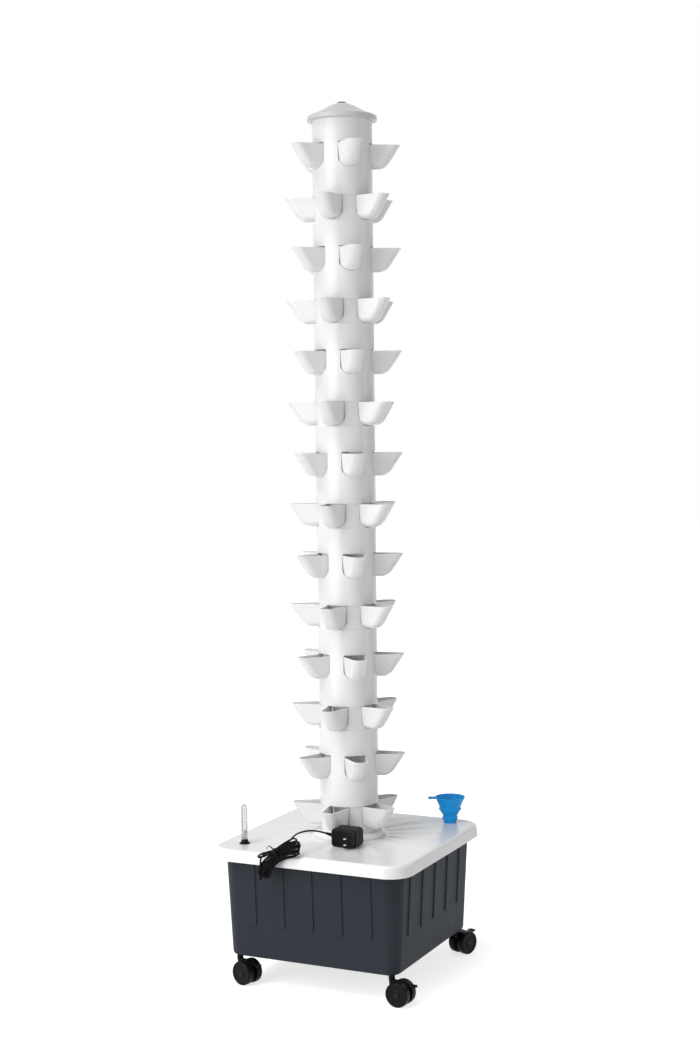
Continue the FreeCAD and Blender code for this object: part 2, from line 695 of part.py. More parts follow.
def gauge_scale():
    """A strip with level marks on the outside of the tube, facing the left."""
    low = LID_TOP + GROMMET_HEIGHT + SCALE_START
    high = low + SCALE_HEIGHT
    x, y = GAUGE_PLACE
    start = Vector(x - GAUGE_TUBE - SCALE_THICKNESS, y - SCALE_WIDTH / 2, low)
    strip = Part.makeBox(2 * SCALE_THICKNESS, SCALE_WIDTH, SCALE_HEIGHT, start)
    return strip.cut(drill(GAUGE_TUBE + SCALE_CLEARANCE, low, high, GAUGE_PLACE))


def gauge_float():
    """The float and its rod, whose head shows in the tube."""
    top = TANK_BASE + FLOAT_TOP
    low = top - FLOAT_HEIGHT
    rod_top = LID_TOP + FLOAT_ROD_TOP
    head = rod_top - FLOAT_HEAD_HEIGHT
    bevel = FLOAT_BEVEL
    profile = [(0.0, low), (FLOAT_RADIUS - bevel, low), (FLOAT_RADIUS, low + bevel)]
    profile += [(FLOAT_RADIUS, top - bevel), (FLOAT_RADIUS - bevel, top), (FLOAT_ROD, top)]
    profile += [(FLOAT_ROD, head), (FLOAT_HEAD, head), (FLOAT_HEAD, rod_top), (0.0, rod_top)]
    return turned(profile, GAUGE_PLACE)


def fill_funnel():
    """The folding funnel with its spigot and hanging tab."""
    rim_rise = FUNNEL_TIERS[-1][1]
    outside = [(r, LID_TOP + h) for r, h in FUNNEL_TIERS]
    inside = []
    for radius, height in FUNNEL_TIERS[1:]:
        lift = FUNNEL_WALL if height < rim_rise else 0.0
        inside.append((radius - FUNNEL_WALL, LID_TOP + height + lift))
    spigot_low = LID_TOP - FUNNEL_SPIGOT_LENGTH
    bore = FUNNEL_SPIGOT - FUNNEL_WALL
    profile = [(bore, spigot_low), (FUNNEL_SPIGOT, spigot_low), (FUNNEL_SPIGOT, LID_TOP)] + outside
    profile += list(reversed(inside)) + [(bore, LID_TOP + FUNNEL_TIERS[1][1] + FUNNEL_WALL)]
    body = turned(profile)
    rim = LID_TOP + rim_rise
    rim_radius = FUNNEL_TIERS[-1][0]
    tab_start = Vector(rim_radius - FUNNEL_WALL / 2, -FUNNEL_TAB_WIDTH / 2, rim - FUNNEL_TAB_THICKNESS)
    tab_length = FUNNEL_TAB_LENGTH + FUNNEL_WALL / 2
    tab = Part.makeBox(tab_length, FUNNEL_TAB_WIDTH, FUNNEL_TAB_THICKNESS, tab_start)
    posts = [e for e in tab.Edges if e.BoundBox.ZLength > 1 and e.BoundBox.XMin > rim_radius]
    tab = tab.makeFillet(FUNNEL_TAB_ROUND, posts)
    eye = (rim_radius + FUNNEL_TAB_LENGTH - FUNNEL_TAB_WIDTH / 2, 0.0)
    body = body.fuse(tab).cut(drill(FUNNEL_EYE, rim - FUNNEL_TAB_THICKNESS, rim, eye))
    body.rotate(ORIGIN, UP, FUNNEL_TAB_TURN)
    body.translate(Vector(FUNNEL_PLACE[0], FUNNEL_PLACE[1], 0))
    return body


def across(radius, width, x, z):
    """A cylinder along Y, centred on the caster's middle plane."""
    return Part.makeCylinder(radius, width, Vector(x, -width / 2, z), Vector(0, 1, 0))


def caster_yoke():
    """Stem, collar and the web between the wheels, with the trail along +X."""
    head = TANK_BASE - CASTER_HEAD_GAP
    stem = rod(STEM_RADIUS, YOKE_TOP - YOKE_NECK, TANK_BASE + STEM_LENGTH)
    collar = rod(YOKE_COLLAR, YOKE_TOP - YOKE_COLLAR_DEPTH, head)
    width = WHEEL_SPACING - 2 * WHEEL_GAP
    hinge_x, hinge_z = BRAKE_HINGE
    hub_radius = AXLE_RADIUS + AXLE_EYE_WALL
    knuckle_radius = BRAKE_EYE + KNUCKLE_WALL
    hub = across(hub_radius, width, CASTER_TRAIL, WHEEL_RADIUS)
    knuckle = across(knuckle_radius, width, hinge_x, hinge_z)
    back = -width / 2
    reach = hub_radius - AXLE_EYE_WALL / 8
    outline = [
        (back, YOKE_TOP), (YOKE_COLLAR, YOKE_TOP), (hinge_x, hinge_z + knuckle_radius),
        (hinge_x + BRAKE_EYE, hinge_z), (CASTER_TRAIL + reach, WHEEL_RADIUS),
        (CASTER_TRAIL, WHEEL_RADIUS - reach), (CASTER_TRAIL - reach, WHEEL_RADIUS), (back, YOKE_HEEL),
    ]
    web = polygon_face([(x, -width / 2, z) for x, z in outline]).extrude(Vector(0, width, 0))
    slot = BRAKE_WIDTH + 2 * BRAKE_SLOT
    reach = BRAKE_EYE + BRAKE_SLOT
    length = BRAKE_SLOT_LENGTH
    opening = Part.makeBox(length, slot, length, Vector(hinge_x - reach, -slot / 2, hinge_z - reach))
    yoke = stem.fuse([collar, web, hub, knuckle]).cut(opening).fuse(across(BRAKE_PIN, width, hinge_x, hinge_z))
    return yoke.cut(across(AXLE_RADIUS, width + OVERRUN, CASTER_TRAIL, WHEEL_RADIUS)).removeSplitter()


def caster_axle():
    """The axle pin, pressed into the web, on which both wheels turn."""
    return across(AXLE_RADIUS, WHEEL_SPACING + 2 * WHEEL_WIDTH, CASTER_TRAIL, WHEEL_RADIUS)


def caster_wheels():
    """Two wheels that face away from the web, each with a bevelled tread, a rim ring, a dish and a hub."""
    inner = AXLE_RADIUS + AXLE_CLEARANCE
    near = WHEEL_SPACING / 2
    far = near + WHEEL_WIDTH
    tread = WHEEL_RADIUS - WHEEL_CHAMFER
    dish = far - WHEEL_DISH
    profile = [
        (inner, near), (WHEEL_RADIUS, near), (WHEEL_RADIUS, far - WHEEL_CHAMFER), (tread, far),
        (tread - WHEEL_RIM, far), (tread - WHEEL_RIM - WHEEL_DISH / 2, dish),
        (WHEEL_HUB + WHEEL_DISH / 2, dish), (WHEEL_HUB, far), (inner, far),
    ]
    wheel = turned(profile)
    wheels = []
    for side in (-90, 90):
        copy = wheel.copy()
        copy.rotate(ORIGIN, Vector(1, 0, 0), side)
        copy.translate(Vector(CASTER_TRAIL, 0, WHEEL_RADIUS))
        wheels.append(copy)
    return wheels


def caster_brake():
    """A pedal on a cross pin: a narrow arm in the web's slot and a wide tab behind the wheels."""
    hinge_x, hinge_z = BRAKE_HINGE
    half = BRAKE_WIDTH / 2
    arm_z = hinge_z - BRAKE_THICKNESS / 2
    arm = Part.makeBox(BRAKE_LENGTH, BRAKE_WIDTH, BRAKE_THICKNESS, Vector(hinge_x, -half, arm_z))
    eye = across(BRAKE_EYE, BRAKE_WIDTH, hinge_x, hinge_z)
    tab_start = Vector(hinge_x + BRAKE_LENGTH, -BRAKE_TAB_WIDTH / 2, arm_z)
    tab = Part.makeBox(BRAKE_TAB_LENGTH, BRAKE_TAB_WIDTH, BRAKE_THICKNESS, tab_start)
    corners = [e for e in tab.Edges if e.BoundBox.ZLength > 1 and e.BoundBox.XMin > tab_start.x + 1]
    tab = tab.makeFillet(BRAKE_TAB_ROUND, corners)
    bore = across(BRAKE_PIN + BRAKE_PIN_CLEARANCE, BRAKE_WIDTH + OVERRUN, hinge_x, hinge_z)
    return arm.fuse([eye, tab]).cut(bore).removeSplitter()


def placed(shape, x, y, turn):
    """A caster piece turned to its resting swivel angle and moved under its corner."""
    if isinstance(shape, list):
        return [placed(each, x, y, turn) for each in shape]
    copy = shape.copy()
    copy.rotate(ORIGIN, UP, turn)
    copy.translate(Vector(x, y, 0))
    return copy


def adapter_half(left, front, back, outer):
    """One half of the adapter's housing, bevelled round its outer face and open to the other half."""
    size = Vector(ADAPTER_RIGHT - left, back - front, ADAPTER_HEIGHT)
    block = Part.makeBox(size.x, size.y, size.z, Vector(left, front, ADAPTER_BASE))
    rim = [
        e for e in block.Edges
        if abs(e.BoundBox.YMin - outer) < 0.01 and abs(e.BoundBox.YMax - outer) < 0.01
        and e.BoundBox.ZMax > ADAPTER_BASE + 1
    ]
    return block.makeChamfer(ADAPTER_ROUND, rim)


def pin_places():
    """The two blades' middles, one above the other near the adapter's right end."""
    x = ADAPTER_RIGHT - PIN_BLOCK_WIDTH / 2
    middle = ADAPTER_BASE + ADAPTER_HEIGHT / 2
    return [(x, middle - PIN_SPACING / 2), (x, middle + PIN_SPACING / 2)]


def relief_axis():
    """Where the strain relief starts inside the adapter, and the way it points."""
    ahead = (CABLE_ROUTE[1] - CABLE_ROUTE[0]).normalize()
    return CABLE_EXIT - ahead * RELIEF_LENGTH, ahead


def strain_relief():
    """A tapered sleeve from the adapter's end to the cable's exit."""
    root, ahead = relief_axis()
    return Part.makeCone(RELIEF_ROOT, RELIEF_TIP, RELIEF_LENGTH, root, ahead)


def adapter_front_shell():
    """The half that carries the blades, with the cable's end."""
    shell = adapter_half(ADAPTER_LEFT, ADAPTER_FRONT, ADAPTER_SPLIT, ADAPTER_FRONT)
    inset = PIN_BLOCK_INSET
    start = Vector(ADAPTER_RIGHT - PIN_BLOCK_WIDTH, ADAPTER_FRONT - PIN_BLOCK_PROUD, ADAPTER_BASE + inset)
    height = ADAPTER_HEIGHT - 2 * inset
    block = Part.makeBox(PIN_BLOCK_WIDTH - inset, PIN_BLOCK_PROUD + ADAPTER_ROUND, height, start)
    shell = shell.fuse(block)
    wide, high = PIN_BLADE
    face = ADAPTER_FRONT - PIN_BLOCK_PROUD
    seats = [strain_relief()]
    for x, z in pin_places():
        seats.append(Part.makeBox(high, PIN_SEAT, wide, Vector(x - high / 2, face, z - wide / 2)))
    return shell.cut(seats).removeSplitter()


def adapter_rear_shell():
    """The half behind the seam, shorter at the cable's end."""
    return adapter_half(ADAPTER_SHOULDER, ADAPTER_SPLIT, ADAPTER_BACK, ADAPTER_BACK)


def adapter_pins():
    """The two flat blades."""
    wide, high = PIN_BLADE
    face = ADAPTER_FRONT - PIN_BLOCK_PROUD
    blades = []
    for x, z in pin_places():
        start = Vector(x - high / 2, face - PIN_LENGTH, z - wide / 2)
        blades.append(Part.makeBox(high, PIN_LENGTH + PIN_SEAT, wide, start))
    return blades


def smooth_route(points):
    """Straight runs joined by tangent arcs, each as large as its two runs allow."""
    edges = []
    start = points[0]
    for before, here, after in zip(points, points[1:], points[2:]):
        inward = (here - before).normalize()
        outward = (after - here).normalize()
        half_turn = inward.getAngle(outward) / 2
        reach = 0.45 * min((here - before).Length, (after - here).Length)
        radius = reach / math.tan(half_turn)
        first = here - inward * reach
        last = here + outward * reach
        towards = (outward - inward).normalize()
        middle = here + towards * (radius / math.cos(half_turn) - radius)
        print("cable arc radius", round(radius, 1))
        edges.append(Part.LineSegment(start, first).toShape())
        edges.append(Part.Arc(first, middle, last).toShape())
        start = last
    edges.append(Part.LineSegment(start, points[-1]).toShape())
    return Part.Wire(edges)


def swept_round(points, radius):
    """A round cord along a smooth route."""
    path = smooth_route(points)
    section = Part.Wire(Part.makeCircle(radius, points[0], points[1] - points[0]))
    cord = path.makePipeShell([section], True, False)
    share = cord.Volume / (math.pi * radius ** 2 * path.Length)
    print("cord length", round(path.Length, 1), "volume share", round(share, 4))
    return cord


def hank_outline(point, ahead, width, height):
    """An eight-sided outline across the bundle, as a closed wire."""
    sideways = ahead.cross(Vector(0, -1, 1)).normalize()
    lift = sideways.cross(ahead).normalize()
    corners = []
    for corner in range(8):
        turn = math.radians(45 * corner + 22.5)
        corners.append(point + sideways * (width * math.cos(turn)) + lift * (height * math.sin(turn)))
    return Part.makePolygon(corners + corners[:1])


def cable_hank():
    """The folded bundle, draped over the lid's front edge."""
    outlines = []
    for index, point in enumerate(HANK_PATH):
        before = HANK_PATH[max(index - 1, 0)]
        after = HANK_PATH[min(index + 1, len(HANK_PATH) - 1)]
        ahead = (after - before).normalize()
        outlines.append(hank_outline(point, ahead, HANK_WIDTHS[index], HANK_HEIGHTS[index]))
    return Part.makeLoft(outlines, True, True)


def hank_tie():
    """A band round the bundle's waist, a little clear of it."""
    first, last = HANK_PATH[TIE_RUN], HANK_PATH[TIE_RUN + 1]
    ahead = (last - first).normalize()
    middle = first * (1 - TIE_SHARE) + last * TIE_SHARE
    width = HANK_WIDTHS[TIE_RUN] * (1 - TIE_SHARE) + HANK_WIDTHS[TIE_RUN + 1] * TIE_SHARE + TIE_GAP
    height = HANK_HEIGHTS[TIE_RUN] * (1 - TIE_SHARE) + HANK_HEIGHTS[TIE_RUN + 1] * TIE_SHARE + TIE_GAP
    start = middle - ahead * (TIE_WIDTH / 2)
    outer = Part.Face(hank_outline(start, ahead, width + TIE_THICKNESS, height + TIE_THICKNESS))
    inner = Part.Face(hank_outline(start, ahead, width, height))
    return outer.cut(inner).extrude(ahead * TIE_WIDTH)


def low_voltage_plug():
    """A round plug hanging beside the hank: a grip and a hollow metal barrel."""
    grip = Part.makeCylinder(PLUG_BODY, PLUG_BODY_LENGTH, PLUG_BASE - UP * PLUG_BODY_LENGTH)
    low = PLUG_BASE - UP * (PLUG_BODY_LENGTH + PLUG_BARREL_LENGTH)
    barrel = Part.makeCylinder(PLUG_BARREL, PLUG_BARREL_LENGTH + OVERRUN, low)
    return grip.fuse(barrel).cut(Part.makeCylinder(PLUG_BORE, PLUG_BARREL_LENGTH, low))


def main():
    os.makedirs("parts", exist_ok=True)
    save("tank_shell", tank_shell())
    save("caster_bushes", caster_bushes())
    save("tank_lid", tank_lid())
    save("tower_collar", tower_collar())
    module = planter_module()
    cup = planting_cup()
    modules = []
    for index in range(MODULES):
        copy = module.copy()
        copy.translate(Vector(0, 0, rim_height(2 * index + 2)))
        modules.append(copy)
    save("planter_modules", modules)
    for level in range(1, 2 * MODULES + 1):
        save("cups_level_%02d" % level, cup_ring(cup, level))
    save("top_cap", top_cap())
    save("vent_plug", vent_plug())
    save("drip_plate", drip_plate())
    save("riser_pipe", riser_pipe())
    save("pump_body", pump_body())
    save("pump_strainer", pump_strainer())
    save("pump_coupling", pump_coupling())
    save("gauge_grommet", gauge_grommet())
    save("gauge_tube", gauge_tube())
    save("gauge_scale", gauge_scale())
    save("gauge_float", gauge_float())
    save("fill_funnel", fill_funnel())
    pieces = {"yoke": caster_yoke(), "axle": caster_axle(), "wheels": caster_wheels(), "brake": caster_brake()}
    for name, x, y, turn in caster_places():
        for piece, shape in pieces.items():
            save("caster_" + piece + "_" + name, placed(shape, x, y, turn))
    save("adapter_rear_shell", adapter_rear_shell())
    save("adapter_front_shell", adapter_front_shell())
    save("adapter_pins", adapter_pins())
    save("strain_relief", strain_relief())
    save("adapter_cable", swept_round(CABLE_ROUTE, CABLE_RADIUS))
    save("cable_hank", cable_hank())
    save("hank_tie", hank_tie())
    save("cable_plug", low_voltage_plug())


main()
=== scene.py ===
"""Dresses a wheeled hydroponic growing tower: the tank, its lid and fittings, the tower and its cups."""

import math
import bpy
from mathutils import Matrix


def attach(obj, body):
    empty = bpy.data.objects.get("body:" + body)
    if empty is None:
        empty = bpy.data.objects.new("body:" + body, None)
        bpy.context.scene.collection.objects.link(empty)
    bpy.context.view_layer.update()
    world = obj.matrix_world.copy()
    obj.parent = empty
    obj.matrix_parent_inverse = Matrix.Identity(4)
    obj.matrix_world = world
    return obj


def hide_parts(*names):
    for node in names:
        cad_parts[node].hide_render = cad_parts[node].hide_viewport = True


bl_info = {
    "name": "Hydroponic Growing Tower",
    "version": (1, 0, 0),
    "blender": (4, 5, 0),
    "location": "3D View > Sidebar > Growing Tower",
    "description": "Builds a tower of planting cups on a wheeled nutrient tank",
    "category": "Add Mesh",
}

import bmesh
import bpy
from bpy.props import FloatProperty, FloatVectorProperty, PointerProperty
from mathutils import Matrix, Vector

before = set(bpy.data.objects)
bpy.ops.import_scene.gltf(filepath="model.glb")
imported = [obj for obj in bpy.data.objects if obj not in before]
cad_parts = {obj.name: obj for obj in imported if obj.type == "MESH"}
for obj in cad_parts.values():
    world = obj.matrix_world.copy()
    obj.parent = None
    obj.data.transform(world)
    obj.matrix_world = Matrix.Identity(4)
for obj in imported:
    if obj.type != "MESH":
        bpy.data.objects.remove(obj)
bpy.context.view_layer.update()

# Sizes in millimetres, as in the part's source; a module's heights are counted from its lower cups' rims
MM = 0.001
MODULES = 7
CUPS_PER_LEVEL = 5
LEVEL_PITCH = 105.0
BODY_RADIUS = 62.0
NECK_RADIUS = 59.6
NECK_BORE = 57.2
SOCKET_RADIUS = 59.9
NECK_BASE = -69.0
BODY_BASE = 1.0
SOCKET_FLOOR = 141.0
BODY_TOP = 161.0
TOWER_TURN = 3.0
CUP_SPACING = 360.0 / CUPS_PER_LEVEL
CUP_DEPTH = 48.0
CUP_TIP = 120.0
CUP_ROOT = 50.0
CUP_ROOT_HALF = 22.5
CUP_NOSE_HALF = 16.5
CUP_NOSE_LENGTH = 18.0
CUP_LEAN = 32.0
# A cup's sides round over below one depth, and its nose turns under below another
CUP_BOWL = 25.3
CUP_BOWL_DEPTH = 22.9
CUP_KEEL = 35.0
CUP_KEEL_DEPTH = 13.2
CUP_KEEL_REACH = 14.0
WINDOW_HALF = CUP_ROOT_HALF + 0.25
BASE_RIM = 357.0
TOWER_TOP = 1778.0
CAP_BASE = 1773.0
CAP_RADIUS = 72.0
COLLAR_RADIUS = 76.0
TANK_BASE = 60.0
TANK_TOP = 285.0
TANK_FOOT_HALF = 189.0
TANK_FOOT_CORNER = 26.0
TANK_FLARE = 12.0
TANK_RIM_HALF = 211.0
TANK_RIM_CORNER = 48.0
TANK_RIBS = 5
TANK_RIB_PITCH = 65.0
TANK_RIB_HALF = 10.0
LID_TOP = 288.0
LID_BASE = 263.0
LID_HALF = 220.0
LID_EDGE = 7.0
LID_CORNER = 50.0
LID_RIBS = 20
GAUGE_PLACE = (-164.0, -160.0)
GAUGE_RADIUS = 6.6
GAUGE_BORE = 5.2
GAUGE_HEIGHT = 81.0
GAUGE_MARKS = 17
GAUGE_MARK_PITCH = 4.0
FUNNEL_PLACE = (156.0, 179.0)
FUNNEL_TURN = 205.6
FUNNEL_HEIGHT = 56.0
FUNNEL_WALL = 1.6
PORT_PLACE = (-70.0, 185.0)
CASTERS = {
    "front_right": (172.0, -172.0, -6.0),
    "front_left": (-172.0, -172.0, -16.0),
    "back_right": (172.0, 172.0, 71.0),
    "back_left": (-172.0, 172.0, 40.0),
}
BUSH_RADIUS = 7.1
BUSH_BORE = 5.1
BUSH_FLANGE = 9.0
BUSH_FLANGE_TOP = 62.0
BUSH_TOP = 88.0
BUSH_HOLE = BUSH_RADIUS + 0.03
STEM_RADIUS = 5.0
STEM_TOP = 86.0
FORK_HALF = 4.2
WHEEL_TRAIL = 20.0
WHEEL_RADIUS = 25.0
WHEEL_NEAR = 5.0
WHEEL_FAR = 20.5
AXLE_BORE = 4.0
PEDAL_PIN = (27.0, 43.0)
PEDAL_HALF = 1.8
ADAPTER_LEFT = 14.0
ADAPTER_RIGHT = 70.0
ADAPTER_BASE = 289.5
ADAPTER_HEIGHT = 37.5
ADAPTER_FRONT = -119.0
ADAPTER_SEAM = -101.0
ADAPTER_BACK = -78.0
BLADE_MIDDLE = 57.0
BLADE_HALF = 3.2
BLADE_ROOT = -124.0
BLADE_TIP = -145.0
BLADE_HEIGHTS = (301.9, 314.6)
# A turned outline's point this near the axis is one corner
ON_AXIS = 1e-4


# Outlines and meshes, drawn in millimetres


def eased(points, radius, steps=4, closed=True):
    """The outline again with its corners turned into short curves; a point may carry its own radius."""
    out = []
    for index, point in enumerate(points):
        here = Vector(point[:2])
        reach = point[2] if len(point) > 2 else radius
        if reach <= 0 or (not closed and index in (0, len(points) - 1)):
            out.append((here.x, here.y))
            continue
        back = Vector(points[index - 1][:2]) - here
        ahead = Vector(points[(index + 1) % len(points)][:2]) - here
        start = here + back.normalized() * min(reach, back.length * 0.48)
        end = here + ahead.normalized() * min(reach, ahead.length * 0.48)
        for step in range(steps + 1):
            t = step / steps
            spot = start * (1 - t) ** 2 + here * 2 * t * (1 - t) + end * t * t
            out.append((spot.x, spot.y))
    return out


def row(bm, points):
    """A row of new corners."""
    return [bm.verts.new(point) for point in points]


def join_rows(bm, first, second, closed=True):
    """Faces between two rows of corners, or between a row and a single corner."""
    count = max(len(first), len(second))
    for index in range(count if closed else count - 1):
        after = (index + 1) % count
        corners = [
            first[index % len(first)],
            first[after % len(first)],
            second[after % len(second)],
            second[index % len(second)],
        ]
        kept = []
        for corner in corners:
            if corner not in kept:
                kept.append(corner)
        if len(kept) > 2:
            bm.faces.new(kept)


def loft(bm, rows, around=True, ring=False, capped=False):
    """Faces from each row to the next; ring joins the last to the first, and capped closes both ends."""
    for first, second in zip(rows, rows[1:] + rows[:1] if ring else rows[1:]):
        join_rows(bm, first, second, around)
    if capped:
        bm.faces.new(rows[0])
        bm.faces.new(rows[-1])


def turned_rows(bm, profile, steps, place):
    """Rows of corners round a turned outline; place turns (u, v, along the axis) into a point."""
    rows = []
    for radius, along in profile:
        if radius < ON_AXIS:
            rows.append(row(bm, [place(0.0, 0.0, along)]))
            continue
        turns = [math.tau * index / steps for index in range(steps)]
        rows.append(row(bm, [place(radius * math.cos(a), radius * math.sin(a), along) for a in turns]))
    return rows


def lathe(bm, profile, steps=64, at=(0.0, 0.0), closed=True):
    """Turns a (radius, height) outline about a vertical axis."""
    rows = turned_rows(bm, profile, steps, lambda u, v, height: (at[0] + u, at[1] + v, height))
    loft(bm, rows, ring=closed)


def lathe_across(bm, profile, steps, at, closed=False):
    """Turns a (radius, place along Y) outline about an axis along Y at (x, z)."""
    rows = turned_rows(bm, profile, steps, lambda u, v, y: (at[0] + u, y, at[1] + v))
    loft(bm, rows, ring=closed)


def lathed(profile, steps=64, at=(0.0, 0.0), closed=True):
    """A new mesh with one turned outline."""
    bm = bmesh.new()
    lathe(bm, profile, steps, at, closed)
    return bm


def slab(bm, outline, low, high, place=lambda u, v, w: (u, v, w)):
    """A block with a flat outline; place turns (u, v, w) into a point."""
    loft(bm, [row(bm, [place(u, v, w) for u, v in outline]) for w in (low, high)], capped=True)


def standing(u, v, w):
    """Stands a block up, with its outline in the XZ plane."""
    return u, w, v


def rectangle(left, front, right, back):
    """A rectangle's outline."""
    return [(left, front), (right, front), (right, back), (left, back)]


def bevelled(bm, edges, width):
    """Rounds the edges."""
    bmesh.ops.bevel(
        bm, geom=edges, offset=width, segments=2, profile=0.5, affect="EDGES", clamp_overlap=True
    )


def soften(bm, width, angle, keep=None):
    """Rounds the edges that turn by more than an angle, or those of them that keep picks."""
    bmesh.ops.recalc_face_normals(bm, faces=bm.faces)
    edges = []
    for edge in bm.edges:
        if len(edge.link_faces) == 2 and edge.calc_face_angle(0) > math.radians(angle):
            if keep is None or keep(edge):
                edges.append(edge)
    bevelled(bm, edges, width)


def turned(bm, angle, start=0):
    """Turns the corners from one on about the vertical axis."""
    bm.verts.ensure_lookup_table()
    matrix = Matrix.Rotation(math.radians(angle), 3, "Z")
    bmesh.ops.rotate(bm, cent=(0, 0, 0), matrix=matrix, verts=bm.verts[start:])


def plain_object(name, bm):
    """An object with the mesh as it is, and its faces turned outwards."""
    mesh = bpy.data.meshes.new(name)
    bmesh.ops.recalc_face_normals(bm, faces=bm.faces)
    bm.to_mesh(mesh)
    bm.free()
    thing = bpy.data.objects.new(name, mesh)
    bpy.context.scene.collection.objects.link(thing)
    return thing


def take_in(bm, other):
    """Adds another mesh to this one."""
    mesh = bpy.data.meshes.new("taken in")
    other.to_mesh(mesh)
    other.free()
    bm.from_mesh(mesh)
    bpy.data.meshes.remove(mesh)


def carved(bm, cutters):
    """The mesh with each cutter's volume taken out of it."""
    target = plain_object("carving", bm)
    tools = [plain_object("cutter", cutter) for cutter in cutters]
    for tool in tools:
        cut = target.modifiers.new("cut", "BOOLEAN")
        cut.operation = "DIFFERENCE"
        cut.solver = "EXACT"
        cut.object = tool
    shown = target.evaluated_get(bpy.context.evaluated_depsgraph_get())
    result = bmesh.new()
    result.from_mesh(shown.to_mesh())
    shown.to_mesh_clear()
    for thing in [target, *tools]:
        mesh = thing.data
        bpy.data.objects.remove(thing)
        bpy.data.meshes.remove(mesh)
    bmesh.ops.remove_doubles(result, verts=result.verts[:], dist=0.01)
    return result


def finished_mesh(name, bm, finish, sharp=38):
    """The mesh in metres, shaded smooth with even highlights on its flat parts."""
    for face in bm.faces:
        face.smooth = True
    bmesh.ops.recalc_face_normals(bm, faces=bm.faces)
    for edge in bm.edges:
        if len(edge.link_faces) == 2 and edge.calc_face_angle(0) > math.radians(sharp):
            edge.smooth = False
    thing = plain_object(name, bm)
    thing.data.transform(Matrix.Scale(MM, 4))
    even = thing.modifiers.new("even", "WEIGHTED_NORMAL")
    even.keep_sharp = True
    even.weight = 60
    shown = thing.evaluated_get(bpy.context.evaluated_depsgraph_get())
    mesh = bpy.data.meshes.new_from_object(shown)
    rough = thing.data
    bpy.data.objects.remove(thing)
    bpy.data.meshes.remove(rough)
    mesh.name = name
    mesh.materials.clear()
    for each in finish if isinstance(finish, (list, tuple)) else [finish]:
        mesh.materials.append(each)
    return mesh


def piece(name, mesh, body, nodes, height=0.0):
    """Puts a finished mesh in the scene, riding on its body in place of its CAD nodes."""
    thing = bpy.data.objects.new(name, mesh)
    bpy.context.scene.collection.objects.link(thing)
    thing.location.z = height * MM
    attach(thing, body)
    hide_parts(*nodes)
    return thing


def dress(name, bm, finish, body, nodes, sharp=38):
    """Finishes a mesh and puts it in the scene."""
    return piece(name, finished_mesh(name, bm, finish, sharp), body, nodes)


def repaint(node, material):
    """Gives a CAD node that keeps its shape its finish."""
    if node.data.materials:
        for index in range(len(node.data.materials)):
            node.data.materials[index] = material
    else:
        node.data.materials.append(material)


# Shader effects that several finishes share


def shader_group(name, inputs, outputs):
    """An empty node group with its named sockets, and its two end nodes."""
    tree = bpy.data.node_groups.new(name, "ShaderNodeTree")
    for label, kind, value in inputs:
        socket = tree.interface.new_socket(label, in_out="INPUT", socket_type=kind)
        socket.default_value = value
    for label, kind in outputs:
        tree.interface.new_socket(label, in_out="OUTPUT", socket_type=kind)
    return tree, tree.nodes.new("NodeGroupInput").outputs, tree.nodes.new("NodeGroupOutput").inputs


def add(tree, kind, *links, **values):
    """A node with its values set by name, and its inputs linked as (input, source) pairs."""
    node = tree.nodes.new(kind)
    for key, value in values.items():
        setattr(node, key, value)
    for target, source in links:
        if isinstance(source, bpy.types.NodeSocket):
            tree.links.new(source, node.inputs[target])
        else:
            node.inputs[target].default_value = source
    return node


def maths(tree, operation, *values):
    """What a math node makes of values or sockets."""
    return add(tree, "ShaderNodeMath", *enumerate(values), operation=operation).outputs[0]


def blend(tree, share, first, second):
    """The colour between two, by a share."""
    return add(tree, "ShaderNodeMix", (0, share), (6, first), (7, second), data_type="RGBA").outputs[2]


def noise(tree, place, scale, detail, rough=0.5):
    """A noise texture's value."""
    links = ("Vector", place), ("Scale", scale), ("Detail", detail), ("Roughness", rough)
    return add(tree, "ShaderNodeTexNoise", *links).outputs[0]


def moulded_skin():
    """Clouds in the colour and gloss of a moulded surface, and its fine grain as a height."""
    if "moulded_skin" in bpy.data.node_groups:
        return bpy.data.node_groups["moulded_skin"]
    tree, given, out = shader_group(
        "moulded_skin",
        [
            ("Colour", "NodeSocketColor", (0.8, 0.8, 0.8, 1)),
            ("Cloud Scale", "NodeSocketFloat", 14.0),
            ("Cloud Share", "NodeSocketFloat", 0.05),
            ("Roughness", "NodeSocketFloat", 0.4),
            ("Gloss Spread", "NodeSocketFloat", 0.08),
            ("Grain Scale", "NodeSocketFloat", 1400.0),
        ],
        [("Colour", "NodeSocketColor"), ("Roughness", "NodeSocketFloat"), ("Height", "NodeSocketFloat")],
    )
    place = add(tree, "ShaderNodeTexCoord").outputs["Object"]
    clouds = maths(tree, "MULTIPLY", noise(tree, place, given["Cloud Scale"], 3.0), given["Cloud Share"])
    tree.links.new(blend(tree, clouds, given["Colour"], (0, 0, 0, 1)), out["Colour"])
    smears = maths(tree, "SUBTRACT", noise(tree, place, 33.0, 5.0, 0.65), 0.5)
    gloss = maths(tree, "MULTIPLY_ADD", smears, given["Gloss Spread"], given["Roughness"])
    tree.links.new(gloss, out["Roughness"])
    tree.links.new(noise(tree, place, given["Grain Scale"], 2.0), out["Height"])
    return tree


